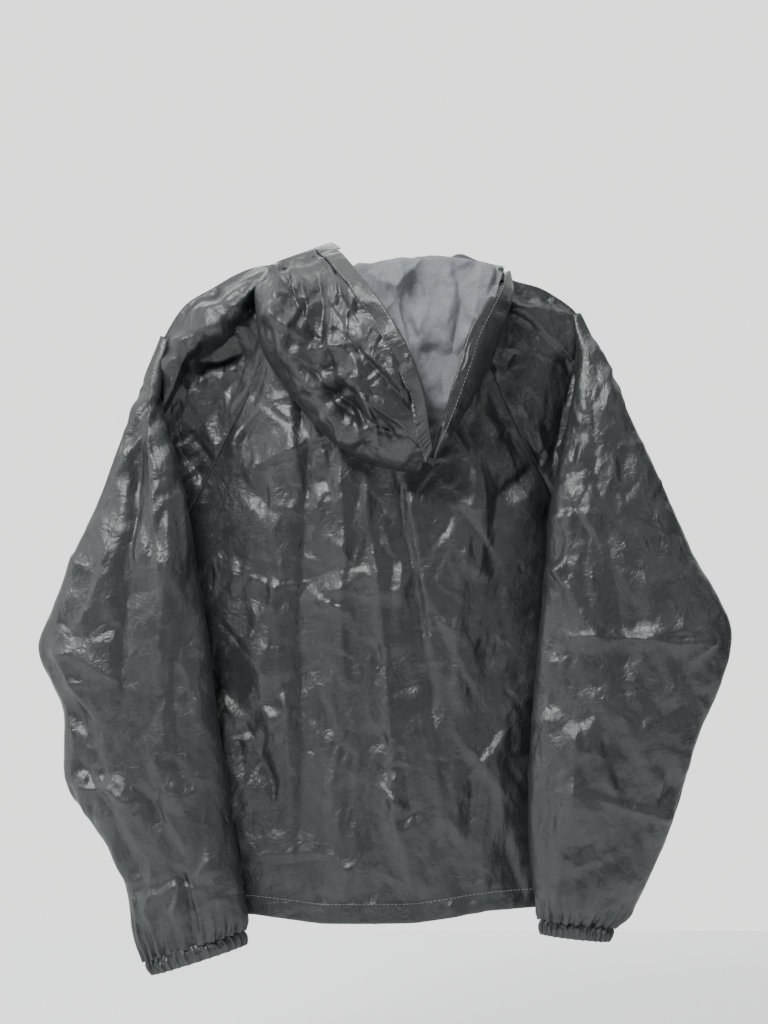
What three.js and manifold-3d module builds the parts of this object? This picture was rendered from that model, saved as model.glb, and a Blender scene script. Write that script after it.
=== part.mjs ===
// A hooded hardshell rain jacket with raglan sleeves, hanging from its shoulders with the front zip undone.
// Millimetres, +Z up. The wearer faces -Y and the wearer's left is +X. The origin is the middle of the
// neck opening, level with the seat that a hanger's shoulders bear on.
import * as THREE from 'three';
import { mergeVertices } from 'three/addons/utils/BufferGeometryUtils.js';
import Module from 'manifold-3d';

const wasm = await Module();
wasm.setup();

// ---- driving dimensions ----
const CLOTH = 1.2; // wall of a cloth panel, with its backing
const SEAM_GAP = 0.5; // clear space between two panels at a seam
const HEM_DROP = 634; // from the neck origin down to the hem
const ARMPIT_DROP = 270; // from the neck origin down to the armpit
const HEM_HALF_WIDTH = 230;
const ARMPIT_HALF_WIDTH = 212;
const NECK_HALF_WIDTH = 84; // half the back neck seam
const NECK_TOP = 4; // the neck seam, above the origin
const FRONT_NECK_TOP = -8;
const NECK_SIDE_DEPTH = 36; // the same at the neck seam's ends
const BACK_DEPTH = 48; // how far the middle of the back stands behind the neck
const FRONT_DEPTH = 58; // how far the flat front stands before it
const SIDE_DEPTH = -14; // the side seam's place, measured like BACK_DEPTH
const RAGLAN_CLEAR = 2; // from the raglan seam's line out to the sleeve

// ---- front edges and zip ----
const FRONT_EDGE = 19; // from the middle to each front panel's turned edge
const ZIP_TOP = -92;
const ZIP_BOTTOM = 30 - HEM_DROP;
const CHAIN_INNER = 11; // from the middle to the tips of the teeth
const CHAIN_WIDTH = 5;
const CHAIN_DEPTH = 4;
const TAPE_WIDTH = 20;
const RIGHT_TAPE_WIDTH = 7; // narrow, clear of the studs' back rings
const TAPE_THICK = 0.8;
const FIT_GAP = 0.3; // between pieces that seat on each other
const FOLD_TOP_X = 38; // the front's fold line runs from here near the zip's top
const FOLD_TOP_Z = -70;
const FOLD_HEM_X = 175; // to here, a little above the hem
const FOLD_HEM_Z = 16 - HEM_DROP;
const FOLD_GAP = 1.5; // each side of the fold line
const NECK_SHARE = 0.1; // the share of a front panel's rows that shape its neckline
const NECK_FOOT = -76; // the lowest of those rows
const LAPEL_TOP = ZIP_TOP + 4;
const RETAINER_HEIGHT = 9; // the box and pin at the zip's foot
const BOX_INNER = 2; // from the middle to the box's near side
const BOX_PROUD = 0.8; // the box's metal, before and behind the chain
const PIN_WIDTH = 3;
const PIN_CLEAR = 0.7; // from the chain's faces in to the pin's
const STOP_HEIGHT = 4;
const STOP_PROUD = 0.4;
const CHAIN_TOP = ZIP_TOP - STOP_HEIGHT - 1;

// ---- slider and pull ----
const SLIDER_LENGTH = 12;
const SLIDER_PLATE = 1.4;
const SLIDER_CLEAR = 0.4; // between the chain and the slider's plates
const SLIDER_FOOT_GAP = 0.5;
const SLIDER_INNER = 7; // how far its plates reach past the teeth's tips
const SLIDER_OUTER = 1.6; // and past the chain's cord
const DIAMOND_HEIGHT = 6; // the wedge that joins the plates
const DIAMOND_FROM = 4.2;
const DIAMOND_TO = 0.6;
const OVERLAP = 0.2; // how far joined bodies reach into each other
const BAIL_DROP = 3.5; // from the slider's top down to the pin
const BAIL_WIDTH = 6.4;
const EAR_SPREAD = 2.6; // from the middle to each ear
const EAR_HALF_THICK = 0.6;
const EAR_HALF_HEIGHT = 1.2;
const PULL_NECK_HALF = 1.5;
const PULL_NECK_PROUD = 0.6;
const PULL_NECK_HEIGHT = 6;
const PULL_LENGTH = 24;
const PULL_WIDTH = 7;
const PULL_THICK = 1.6;
const BAIL_PIN_R = 0.9;
const BAIL_STAND = 3; // the pin's middle, out from the slider's plate

// ---- storm flap and press studs ----
const FLAP_STAND = 13; // how far the flap stands before the front panel
const FLAP_ROOT_X = 36;
const FLAP_EDGE_X = -3;
const FLAP_TOP = -98;
const FLAP_BOTTOM = ZIP_BOTTOM + 14;
const STUD_COUNT = 5;
const STUD_FIRST = -112;
const STUD_X = 4; // the caps' line on the flap
const STUD_RIGHT_X = -30; // the studs' line on the right front
const CAP_R = 6;
const STUD_PITCH = (STUD_FIRST - FLAP_BOTTOM - CAP_R) / (STUD_COUNT - 1);
const CAP_THICK = 1.8;
const SHANK_R = 2;

// ---- cuffs and hood casing ----
const ARM_SEAM_TURN = 0.03; // the part of a half turn left open at each arm seam
const CUFF_HEIGHT = 15;
const CUFF_SIDES = 28;
const CASING_WALL = 0.8;
const ELASTIC_THICK = 1.2;
const ELASTIC_WIDTH = 10;
const CASING_WIDTH = 16;
const HOOD_INNER_Y = BACK_DEPTH + 2;
const HOOD_SEAM_SHARE = 6 / 9; // where the centre seam meets the hood's brow
const HOOD_SEAM_GAP = 0.004; // half the seam's gap, as a share of the hood
const HOOD_TURN = 0.16; // the share of the way from face edge to nape that turns under
const HOOD_TURN_R = 12;
const FACE_STEPS = 40;
const HOOD_ELASTIC_START = 3; // from the casing's open side
const HOOD_ELASTIC_END = 8;

// ---- hang loop and label ----
const LOOP_WIDTH = 50;
const LOOP_HEIGHT = 14;
const LOOP_TAPE = 1.6;
const LOOP_DEPTH = 7;
const LOOP_FOOT = -13;
const NECK_TAPE_HALF = 48;
const NECK_TAPE_TOP = 2;
const NECK_TAPE_FOOT = -10;
const NECK_TAPE_THICK = 0.8;
const LABEL_WIDTH = 34;
const LABEL_HEIGHT = 22;
const LABEL_THICK = 0.6;
const LABEL_TOP = -24;
const LABEL_STAND = 2; // from the back panel's inside

const jacket = new THREE.Group();
const colours = {
  shell: 0x3b4142,
  lining: 0x9a9fa3,
  tape: 0x24282a,
  chain: 0x1c1f20,
  metal: 0x8d9194,
  elastic: 0x2c3031,
  label: 0xd8dad9,
};
const finish = { metal: [0.35, 1.0], chain: [0.45, 0.0], shell: [0.42, 0.0] };

function add(name, geometry, colour) {
  const [roughness, metalness] = finish[colour] ?? [0.7, 0.0];
  const material = new THREE.MeshStandardMaterial({ color: colours[colour], roughness, metalness });
  const mesh = new THREE.Mesh(geometry, material);
  mesh.name = name;
  jacket.add(mesh);
  return mesh;
}

// ---- shared geometry ----
// The value at share t of a smooth line through evenly spaced numbers.
function through(values, t) {
  const last = values.length - 1;
  const at = Math.min(Math.max(t, 0), 1) * last;
  const i = Math.min(Math.floor(at), last - 1);
  const f = at - i;
  const [b, c] = [values[i], values[i + 1]];
  const a = i > 0 ? values[i - 1] : 2 * b - c;
  const d = i + 2 <= last ? values[i + 2] : 2 * c - b;
  return 0.5 * (2 * b + (c - a) * f + (2 * a - 5 * b + 4 * c - d) * f * f + (3 * b - a - 3 * c + d) * f ** 3);
}

const along = (points, t) => new THREE.Vector3(...[0, 1, 2].map((k) => through(points.map((p) => p[k]), t)));
const mix = (a, b, t) => a + (b - a) * t;

// A closed solid of the given thickness about the surface point(u, v), with u and v from 0 to 1.
function sheet(point, across, down, thickness = CLOTH) {
  const step = 1e-3;
  const position = [];
  const index = [];
  for (const side of [0.5, -0.5]) {
    for (let j = 0; j <= down; j++) {
      for (let i = 0; i <= across; i++) {
        const [u, v] = [i / across, j / down];
        const du = point(Math.min(u + step, 1), v).sub(point(Math.max(u - step, 0), v));
        const dv = point(u, Math.min(v + step, 1)).sub(point(u, Math.max(v - step, 0)));
        const normal = du.cross(dv).normalize();
        const p = point(u, v).addScaledVector(normal, side * thickness);
        position.push(p.x, p.y, p.z);
      }
    }
  }
  const row = across + 1;
  const layer = row * (down + 1);
  const quad = (a, b, c, d) => index.push(a, b, c, a, c, d);
  for (let j = 0; j < down; j++) {
    for (let i = 0; i < across; i++) {
      const a = j * row + i;
      quad(a, a + 1, a + row + 1, a + row);
      quad(layer + a, layer + a + row, layer + a + row + 1, layer + a + 1);
    }
  }
  for (let i = 0; i < across; i++) {
    const b = down * row + i;
    quad(i, layer + i, layer + i + 1, i + 1);
    quad(b, b + 1, layer + b + 1, layer + b);
  }
  for (let j = 0; j < down; j++) {
    const a = j * row;
    const b = a + across;
    quad(a, a + row, layer + a + row, layer + a);
    quad(b, layer + b, layer + b + row, b + row);
  }
  return closed(position, index);
}

// A geometry of these vertices and triangles, turned to face outwards.
function closed(position, index) {
  const geometry = new THREE.BufferGeometry();
  geometry.setAttribute('position', new THREE.Float32BufferAttribute(position, 3));
  const at = (i) => new THREE.Vector3(...position.slice(3 * i, 3 * i + 3));
  let volume = 0;
  for (let i = 0; i < index.length; i += 3) {
    volume += at(index[i]).dot(at(index[i + 1]).cross(at(index[i + 2])));
  }
  geometry.setIndex(volume < 0 ? index.slice().reverse() : index);
  return geometry;
}

// A closed outline of [a, b] pairs carried along frames of { origin, a, b }; a ring if it joins up.
function sweep(profile, frames, ring = false) {
  const flat = profile.map(([a, b]) => new THREE.Vector2(a, b));
  if (THREE.ShapeUtils.area(flat) < 0) {
    flat.reverse();
  }
  const position = [];
  const index = [];
  const n = flat.length;
  for (const { origin, a, b } of frames) {
    for (const corner of flat) {
      const p = origin.clone().addScaledVector(a, corner.x).addScaledVector(b, corner.y);
      position.push(p.x, p.y, p.z);
    }
  }
  const stations = ring ? frames.length : frames.length - 1;
  for (let s = 0; s < stations; s++) {
    const [here, next] = [s * n, ((s + 1) % frames.length) * n];
    for (let i = 0; i < n; i++) {
      const k = (i + 1) % n;
      index.push(here + i, here + k, next + k, here + i, next + k, next + i);
    }
  }
  if (!ring) {
    const end = (frames.length - 1) * n;
    for (const [i, j, k] of THREE.ShapeUtils.triangulateShape(flat, [])) {
      index.push(i, k, j);
      index.push(end + i, end + j, end + k);
    }
  }
  return closed(position, index);
}

function manifold(geometry) {
  const bare = geometry.clone();
  bare.deleteAttribute('normal');
  bare.deleteAttribute('uv');
  const merged = mergeVertices(bare, 1e-4);
  const triVerts = new Uint32Array(merged.index.array);
  const vertProperties = new Float32Array(merged.attributes.position.array);
  return new wasm.Manifold(new wasm.Mesh({ numProp: 3, vertProperties, triVerts }));
}

function geometryOf(solid) {
  const { vertProperties, triVerts } = solid.getMesh();
  const geometry = new THREE.BufferGeometry();
  geometry.setAttribute('position', new THREE.BufferAttribute(new Float32Array(vertProperties), 3));
  geometry.setIndex(new THREE.BufferAttribute(triVerts, 1));
  return geometry;
}

const cut = (body, ...tools) => geometryOf(tools.reduce((s, t) => s.subtract(manifold(t)), manifold(body)));
const join = (...bodies) => geometryOf(bodies.map(manifold).reduce((s, t) => s.add(t)));

// A box from its two corners.
function box(low, high) {
  const size = high.map((h, k) => h - low[k]);
  const middle = high.map((h, k) => (h + low[k]) / 2);
  return new THREE.BoxGeometry(...size).translate(...middle);
}

// A disc or bar along Y, from y0 to y1.
function round(x, z, y0, y1, radius, sides = 12) {
  return new THREE.CylinderGeometry(radius, radius, y1 - y0, sides).translate(x, (y0 + y1) / 2, z);
}

// ---- torso ----
// The raglan seam, as shares of the way down to the armpit and out to it.
const RAGLAN_DOWN = [0, 0.222, 0.426, 0.76, 1];
const RAGLAN_OUT = [0, 0.188, 0.36, 0.72, 1];
const RAGLAN_Z = RAGLAN_DOWN.map((share) => mix(NECK_TOP, -ARMPIT_DROP, share));
const RAGLAN_X = RAGLAN_OUT.map((share) => mix(NECK_HALF_WIDTH, ARMPIT_HALF_WIDTH, share));

// Half the torso's width at a height, between the two raglan seams or the two side seams.
function halfWidth(z) {
  if (z <= -ARMPIT_DROP) {
    return mix(ARMPIT_HALF_WIDTH, HEM_HALF_WIDTH, (-ARMPIT_DROP - z) / (HEM_DROP - ARMPIT_DROP));
  }
  let i = 0;
  while (i < RAGLAN_Z.length - 2 && z < RAGLAN_Z[i + 1]) {
    i += 1;
  }
  const share = (RAGLAN_Z[i] - z) / (RAGLAN_Z[i] - RAGLAN_Z[i + 1]);
  return mix(RAGLAN_X[i], RAGLAN_X[i + 1], share);
}

const drop = (z) => Math.min(Math.max(-z / ARMPIT_DROP, 0), 1);

// The back's surface: full in the middle and falling forward towards the side seams.
function backY(x, z) {
  const below = Math.min(Math.max((-z - ARMPIT_DROP) / 200, 0), 1);
  const edge = mix(NECK_SIDE_DEPTH, SIDE_DEPTH + 4, drop(z) ** 0.8) - 4 * below;
  const middle = mix(BACK_DEPTH - 2, BACK_DEPTH, Math.min(drop(z) * 3, 1));
  return mix(edge, middle, 1 - Math.min(Math.abs(x) / halfWidth(z), 1) ** 2.5);
}

// The front's surface: flat about the zip, curving back to the side seams and up to the neck.
function frontY(x, z) {
  const smooth = (t) => {
    const c = Math.min(Math.max(t, 0), 1);
    return c * c * (3 - 2 * c);
  };
  const side = (FRONT_DEPTH + SIDE_DEPTH - 8) * smooth((Math.abs(x) - 182) / 50);
  const top = (FRONT_DEPTH - 18) * smooth((z - FOLD_TOP_Z) / 66);
  return -FRONT_DEPTH + Math.max(side, top);
}

add(
  'back_panel',
  sheet(
    (u, v) => {
      const z = mix(NECK_TOP, -HEM_DROP, v);
      const x = (2 * u - 1) * (halfWidth(z) - SEAM_GAP);
      return new THREE.Vector3(x, backY(x, z), z);
    },
    14,
    18,
  ),
  'shell',
);

// The share of the way down the fold line, and the line's x there.
const foldX = (z) => mix(FOLD_TOP_X, FOLD_HEM_X, (FOLD_TOP_Z - z) / (FOLD_TOP_Z - FOLD_HEM_Z));

// The inner edge of a front panel's fixed part: the neckline, then the fold line.
function fixedInner(z) {
  if (z < FOLD_TOP_Z) {
    return foldX(z) + FOLD_GAP;
  }
  const t = (z - FOLD_TOP_Z) / (FRONT_NECK_TOP - FOLD_TOP_Z);
  return mix(FOLD_TOP_X + FOLD_GAP, NECK_HALF_WIDTH - SEAM_GAP, t ** 0.7);
}

for (const [side, sign] of [['left', 1], ['right', -1]]) {
  add(
    `front_${side}_panel`,
    sheet(
      (u, v) => {
        const z = v < NECK_SHARE
          ? mix(FRONT_NECK_TOP, NECK_FOOT, v / NECK_SHARE)
          : mix(NECK_FOOT, -HEM_DROP, (v - NECK_SHARE) / (1 - NECK_SHARE));
        const x = mix(fixedInner(z), halfWidth(z) - SEAM_GAP, u);
        return new THREE.Vector3(sign * x, frontY(x, z), z);
      },
      8,
      20,
    ),
    'shell',
  );
}

// ---- front edges that fold open: panel, zip tape, chain, stops ----
const panelBack = -FRONT_DEPTH + CLOTH / 2;
const tapeFront = panelBack + FIT_GAP;
const chainMiddle = tapeFront + TAPE_THICK / 2;

function lapel() {
  const outline = new THREE.Shape([
    new THREE.Vector2(FRONT_EDGE, LAPEL_TOP),
    new THREE.Vector2(foldX(LAPEL_TOP) - FOLD_GAP, LAPEL_TOP),
    new THREE.Vector2(foldX(-HEM_DROP) - FOLD_GAP, -HEM_DROP),
    new THREE.Vector2(FRONT_EDGE, -HEM_DROP),
  ]);
  const plate = new THREE.ExtrudeGeometry(outline, { depth: CLOTH, bevelEnabled: false });
  return plate.rotateX(Math.PI / 2).translate(0, -FRONT_DEPTH + CLOTH / 2, 0);
}

const studHeights = Array.from({ length: STUD_COUNT }, (_, k) => STUD_FIRST - k * STUD_PITCH);
const mirrored = (geometry, sign) => {
  const copy = geometry.clone();
  if (sign < 0) {
    copy.scale(-1, 1, 1);
    const count = copy.attributes.position.count;
    const order = copy.index ? Array.from(copy.index.array) : [...Array(count).keys()];
    copy.setIndex(order.reverse());
  }
  return copy;
};

const chainBack = chainMiddle + CHAIN_DEPTH / 2;
const chainFront = chainMiddle - CHAIN_DEPTH / 2;
const tapeInner = CHAIN_INNER + CHAIN_WIDTH + FIT_GAP;
for (const [side, sign] of [['left', 1], ['right', -1]]) {
  const edge = mirrored(lapel(), sign);
  const holes = studHeights.map((z) => {
    return round(STUD_RIGHT_X, z, -FRONT_DEPTH - 3, -FRONT_DEPTH + 3, SHANK_R + FIT_GAP);
  });
  add(`front_${side}_edge`, sign < 0 ? cut(edge, ...holes) : edge, 'shell');
  const tape = box(
    [tapeInner, tapeFront, ZIP_BOTTOM],
    [tapeInner + (sign < 0 ? RIGHT_TAPE_WIDTH : TAPE_WIDTH), tapeFront + TAPE_THICK, ZIP_TOP],
  );
  add(`zip_tape_${side}`, mirrored(tape, sign), 'tape');
  const chain = box(
    [CHAIN_INNER, chainFront, ZIP_BOTTOM + RETAINER_HEIGHT],
    [CHAIN_INNER + CHAIN_WIDTH, chainBack, CHAIN_TOP],
  );
  add(`zip_chain_${side}`, mirrored(chain, sign), 'chain');
  const stop = box(
    [CHAIN_INNER, chainFront - STOP_PROUD, CHAIN_TOP + FIT_GAP],
    [CHAIN_INNER + CHAIN_WIDTH, chainBack + STOP_PROUD, CHAIN_TOP + STOP_HEIGHT],
  );
  add(`zip_top_stop_${side}`, mirrored(stop, sign), 'metal');
}
// The right chain ends in the retainer box, and the left one in the pin that goes into it.
const footTop = ZIP_BOTTOM + RETAINER_HEIGHT - FIT_GAP;
const boxBody = box(
  [BOX_INNER, chainFront - BOX_PROUD, ZIP_BOTTOM - 2],
  [CHAIN_INNER + CHAIN_WIDTH, chainBack + BOX_PROUD, footTop],
);
const wayInner = BOX_INNER + 2 * BOX_PROUD;
const wayClear = PIN_CLEAR - FIT_GAP;
const pinWay = box(
  [wayInner, chainFront + wayClear, ZIP_BOTTOM],
  [wayInner + PIN_WIDTH + 1, chainBack - wayClear, footTop + 1],
);
add('zip_retainer_box', mirrored(cut(boxBody, pinWay), -1), 'metal');
add(
  'zip_insertion_pin',
  box(
    [CHAIN_INNER, chainFront + PIN_CLEAR, ZIP_BOTTOM - 1],
    [CHAIN_INNER + PIN_WIDTH, chainBack - PIN_CLEAR, footTop],
  ),
  'metal',
);

// ---- slider and pull tab ----
const sliderBottom = footTop + FIT_GAP + SLIDER_FOOT_GAP;
const sliderTop = sliderBottom + SLIDER_LENGTH;
const plateFront = chainFront - SLIDER_CLEAR;
const plateBack = chainBack + SLIDER_CLEAR;
const sliderInner = CHAIN_INNER - SLIDER_INNER;
const sliderOuter = CHAIN_INNER + CHAIN_WIDTH + SLIDER_OUTER;
const bailZ = sliderTop - BAIL_DROP;
const bailY = plateFront - SLIDER_PLATE - BAIL_STAND;
const sliderX = (sliderInner + sliderOuter) / 2;

function slider() {
  const front = box(
    [sliderInner, plateFront - SLIDER_PLATE, sliderBottom],
    [sliderOuter, plateFront, sliderTop],
  );
  const back = box(
    [sliderInner, plateBack, sliderBottom],
    [sliderOuter, plateBack + SLIDER_PLATE, sliderTop],
  );
  const diamond = box(
    [CHAIN_INNER - DIAMOND_FROM, plateFront - OVERLAP, sliderTop - DIAMOND_HEIGHT],
    [CHAIN_INNER - DIAMOND_TO, plateBack + OVERLAP, sliderTop],
  );
  const pin = new THREE.CylinderGeometry(BAIL_PIN_R, BAIL_PIN_R, BAIL_WIDTH, 12).rotateZ(Math.PI / 2);
  pin.translate(sliderX, bailY, bailZ);
  const ears = [-1, 1].map((s) => {
    const x = sliderX + s * EAR_SPREAD;
    return box(
      [x - EAR_HALF_THICK, bailY - EAR_HALF_HEIGHT, bailZ - EAR_HALF_HEIGHT],
      [x + EAR_HALF_THICK, plateFront - SLIDER_PLATE + OVERLAP, bailZ + EAR_HALF_HEIGHT],
    );
  });
  return join(front, back, diamond, pin, ...ears);
}
add('zip_slider', mirrored(slider(), -1), 'metal');

function pullTab() {
  const half = PULL_THICK / 2;
  const neck = box(
    [sliderX - PULL_NECK_HALF, bailY - half - PULL_NECK_PROUD, bailZ - PULL_NECK_HEIGHT],
    [sliderX + PULL_NECK_HALF, bailY + half + PULL_NECK_PROUD, bailZ + EAR_HALF_HEIGHT + BAIL_PIN_R],
  );
  const leafTop = bailZ - PULL_NECK_HEIGHT + 1;
  const leaf = box(
    [sliderX - PULL_WIDTH / 2, bailY - PULL_THICK / 2, leafTop - PULL_LENGTH],
    [sliderX + PULL_WIDTH / 2, bailY + PULL_THICK / 2, leafTop],
  );
  const eyeR = BAIL_PIN_R + FIT_GAP;
  const eye = new THREE.CylinderGeometry(eyeR, eyeR, BAIL_WIDTH + 1.6, 16).rotateZ(Math.PI / 2);
  return cut(join(neck, leaf), eye.translate(sliderX, bailY, bailZ));
}
add('zip_pull', mirrored(pullTab(), -1), 'tape');

// ---- storm flap with its press studs ----
function stormFlap() {
  const [near, far] = [-FRONT_DEPTH - CLOTH / 2 - FIT_GAP, -FRONT_DEPTH - FLAP_STAND];
  const outline = [
    [FLAP_ROOT_X, near],
    [FLAP_ROOT_X - 6, near],
    [FLAP_ROOT_X - 10, far + CLOTH],
    [FLAP_EDGE_X, far + CLOTH],
    [FLAP_EDGE_X, far],
    [FLAP_ROOT_X - 9, far],
    [FLAP_ROOT_X - 5, near - CLOTH],
    [FLAP_ROOT_X, near - CLOTH],
  ];
  const shape = new THREE.Shape(outline.map(([x, y]) => new THREE.Vector2(x, y)));
  const strip = new THREE.ExtrudeGeometry(shape, { depth: FLAP_TOP - FLAP_BOTTOM, bevelEnabled: false });
  strip.translate(0, 0, FLAP_BOTTOM);
  return cut(strip, ...studHeights.map((z) => round(STUD_X, z, far - 2, far + CLOTH + 2, SHANK_R + FIT_GAP)));
}
add('storm_flap', stormFlap(), 'shell');

// A cap and a socket, or a stud and its back ring, on one shank through the cloth that spans y0 to y1.
function pressStud(x, z, y0, y1, post) {
  const outside = round(x, z, y0 - FIT_GAP - CAP_THICK, y0 - FIT_GAP, CAP_R);
  const inside = round(x, z, y1 + FIT_GAP, y1 + FIT_GAP + CAP_THICK, CAP_R - 1);
  const shank = round(x, z, y0 - FIT_GAP - CAP_THICK / 2, y1 + FIT_GAP + CAP_THICK / 2, SHANK_R);
  const knob = round(x, z, y0 - FIT_GAP - CAP_THICK - 1.6, y0 - FIT_GAP - CAP_THICK + 0.2, SHANK_R + 0.8);
  return post ? join(outside, inside, shank, knob) : join(outside, inside, shank);
}
studHeights.forEach((z, k) => {
  const far = -FRONT_DEPTH - FLAP_STAND;
  add(`snap_cap_${k + 1}`, pressStud(STUD_X, z, far, far + CLOTH, false), 'metal');
  const [front, back] = [-FRONT_DEPTH - CLOTH / 2, -FRONT_DEPTH + CLOTH / 2];
  add(`snap_stud_${k + 1}`, pressStud(STUD_RIGHT_X, z, front, back, true), 'metal');
});

// ---- shoulders: the tops of the raglan sleeves, over the hanger ----
// Each x is measured out from the neck seam's end, the middle or the armpit.
const SHOULDER_MIDDLE = (NECK_HALF_WIDTH + ARMPIT_HALF_WIDTH) / 2;
const shoulders = {
  left: {
    sign: 1,
    neck: [NECK_HALF_WIDTH + 36, 4, 17],
    middle: [SHOULDER_MIDDLE + 20, 3, -14],
    tip: [ARMPIT_HALF_WIDTH + 10, 2, -60],
  },
  right: {
    sign: -1,
    neck: [NECK_HALF_WIDTH + 44, 4, 13],
    middle: [SHOULDER_MIDDLE + 24, 3, -6],
    tip: [ARMPIT_HALF_WIDTH, 2, -32],
  },
};
for (const [side, s] of Object.entries(shoulders)) {
  const top = [s.neck, s.middle, s.tip];
  for (const [face, away] of [['back', 1], ['front', -1]]) {
    const surface = face === 'back' ? backY : frontY;
    const upper = face === 'back' ? 6 : FRONT_NECK_TOP + 1;
    add(
      `sleeve_${side}_shoulder_${face}`,
      sheet(
        (u, v) => {
          const line = along(top, u);
          const z = mix(upper, -ARMPIT_DROP, u);
          const x = halfWidth(z) + RAGLAN_CLEAR;
          const y = surface(halfWidth(z), z);
          const high = new THREE.Vector3(line.x, away * line.y, line.z);
          const p = high.lerp(new THREE.Vector3(x, y, z), v);
          p.y += away * 5 * Math.sin(Math.PI * v) * Math.sin(Math.PI * u);
          p.x *= s.sign;
          return p;
        },
        10,
        8,
      ),
      'shell',
    );
  }
}

// ---- arms: the hanging part of each sleeve, as a back and a front panel, with an elasticated cuff ----
// Each station is [inner x, inner z, outer x, outer z, middle y, half depth]. Its x runs out from the armpit's
// width, and its middle y is a share of the back's depth, so the arms stay clear of a wider or deeper back.
const arms = {
  left: {
    sign: 1,
    stations: [
      [5, -84, 15, -88, 0.23, 4],
      [-9, -122, 32, -135, 0.56, 12],
      [-25, -190, 60, -200, 0.75, 21],
      [-37, -270, 94, -280, 0.83, 27],
      [-46, -350, 120, -357, 0.88, 29],
      [-58, -440, 97, -450, 0.92, 29],
      [-70, -540, 78, -520, 1.02, 27],
      [-82, -610, 28, -615, 1.12, 23],
      [-84, -641, 11, -672, 1.17, 17],
    ],
  },
  right: {
    sign: -1,
    stations: [
      [-7, -54, 3, -57, 0.23, 4],
      [-15, -97, 26, -100, 0.56, 12],
      [-27, -162, 56, -167, 0.75, 21],
      [-39, -242, 93, -247, 0.83, 27],
      [-50, -330, 138, -342, 0.88, 29],
      [-59, -420, 126, -425, 0.92, 29],
      [-60, -510, 96, -515, 0.94, 28],
      [-56, -590, 60, -592, 0.9, 24],
      [-49, -630, 28, -637, 0.85, 17],
    ],
  },
};

for (const [side, { sign, stations: placed }] of Object.entries(arms)) {
  const stations = placed.map(([ix, iz, ox, oz, y, depth]) => {
    return [ARMPIT_HALF_WIDTH + ix, iz, ARMPIT_HALF_WIDTH + ox, oz, BACK_DEPTH * y, depth];
  });
  const section = (t, turn) => {
    const [ix, iz, ox, oz, y, depth] = stations[0].map((_, k) => through(stations.map((s) => s[k]), t));
    const share = (1 - Math.cos(turn)) / 2;
    const bulge = Math.sign(Math.sin(turn)) * Math.abs(Math.sin(turn)) ** 0.9;
    return new THREE.Vector3(sign * mix(ix, ox, share), y + depth * bulge, mix(iz, oz, share));
  };
  for (const [face, start] of [['back', 0], ['front', Math.PI]]) {
    const turn = (u) => start + Math.PI * mix(ARM_SEAM_TURN, 1 - ARM_SEAM_TURN, u);
    add(`sleeve_${side}_${face}`, sheet((u, v) => section(v, turn(u)), 8, 14), 'shell');
  }
  cuff(side, sign, stations.at(-1));
}

// A folded casing, open at its top edge, with the elastic inside it.
function cuff(side, sign, [ix, iz, ox, oz, y, depth]) {
  const inner = new THREE.Vector3(sign * ix, y, iz);
  const outer = new THREE.Vector3(sign * ox, y, oz);
  const middle = inner.clone().lerp(outer, 0.5);
  const across = outer.clone().sub(inner);
  const half = across.length() / 2;
  across.normalize();
  const out = new THREE.Vector3(0, 1, 0);
  const downward = across.clone().cross(out).multiplyScalar(sign > 0 ? 1 : -1);
  if (downward.z > 0) {
    downward.negate();
  }
  const frames = Array.from({ length: CUFF_SIDES }, (_, k) => {
    const turn = (k / CUFF_SIDES) * 2 * Math.PI;
    const origin = middle.clone();
    origin.addScaledVector(across, (half - 3) * Math.cos(turn));
    origin.addScaledVector(out, (depth - 1) * Math.sin(turn));
    const a = across.clone().multiplyScalar(Math.cos(turn) * (depth - 1));
    a.addScaledVector(out, Math.sin(turn) * (half - 3)).normalize();
    return { origin, a, b: downward };
  });
  const channel = ELASTIC_THICK / 2 + FIT_GAP;
  const wall = channel + CASING_WALL;
  const [top, foot] = [1.2, 1.2 + CUFF_HEIGHT];
  const casing = [
    [-wall, top], [-channel, top], [-channel, foot - CASING_WALL], [channel, foot - CASING_WALL],
    [channel, top], [wall, top], [wall, foot], [-wall, foot],
  ];
  add(`cuff_${side}_casing`, sweep(casing, frames, true), 'shell');
  const [e, low] = [ELASTIC_THICK / 2, foot - CASING_WALL - FIT_GAP];
  const band = [[-e, low - ELASTIC_WIDTH], [e, low - ELASTIC_WIDTH], [e, low], [-e, low]];
  add(`cuff_${side}_elastic`, sweep(band, frames, true), 'elastic');
}

// ---- collar: the part of the hood that stands on the neckline in front of the nape ----
const collars = {
  left: {
    base: [[24, -61, -84], [60, -50, -52], [97, -21, -2], [119, 0, 21], [104, 40, 12]],
    rim: [[22, -63, -76], [42, -58, -20], [44, -30, 30], [45, 6, 47], [30, 46, 40]],
  },
  right: {
    base: [[-24, -61, -84], [-60, -50, -52], [-97, -21, -2], [-127, 0, 18], [-108, 40, 10]],
    rim: [[-22, -63, -76], [-48, -60, -20], [-80, -32, 42], [-108, -4, 30], [-130, 34, 22]],
  },
};
for (const [side, { base, rim }] of Object.entries(collars)) {
  const surface = (u, v) => along(base, u).lerp(along(rim, u), v);
  add(`collar_${side}`, sheet((u, v) => surface(u, mix(0.04, 1, v)), 12, 5), 'shell');
}

// ---- hood: a bag that hangs behind the back, open at the face ----
// Each station is [x, bottom z, top z of the outer layer, top z of the inner layer, depth of the bag].
const hoodStations = [
  [114, -14, 2, 2, 7],
  [100, -62, 2, 2, 30],
  [75, -108, 2, 0, 48],
  [30, -157, -36, -2, 58],
  [0, -175, -85, -4, 58],
  [-40, -186, -150, -4, 50],
  [-62, -186, -160, -4, 44],
  [-86, -160, -133, -2, 36],
  [-112, -100, -50, 0, 24],
  [-130, -34, -4, 2, 9],
];

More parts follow.
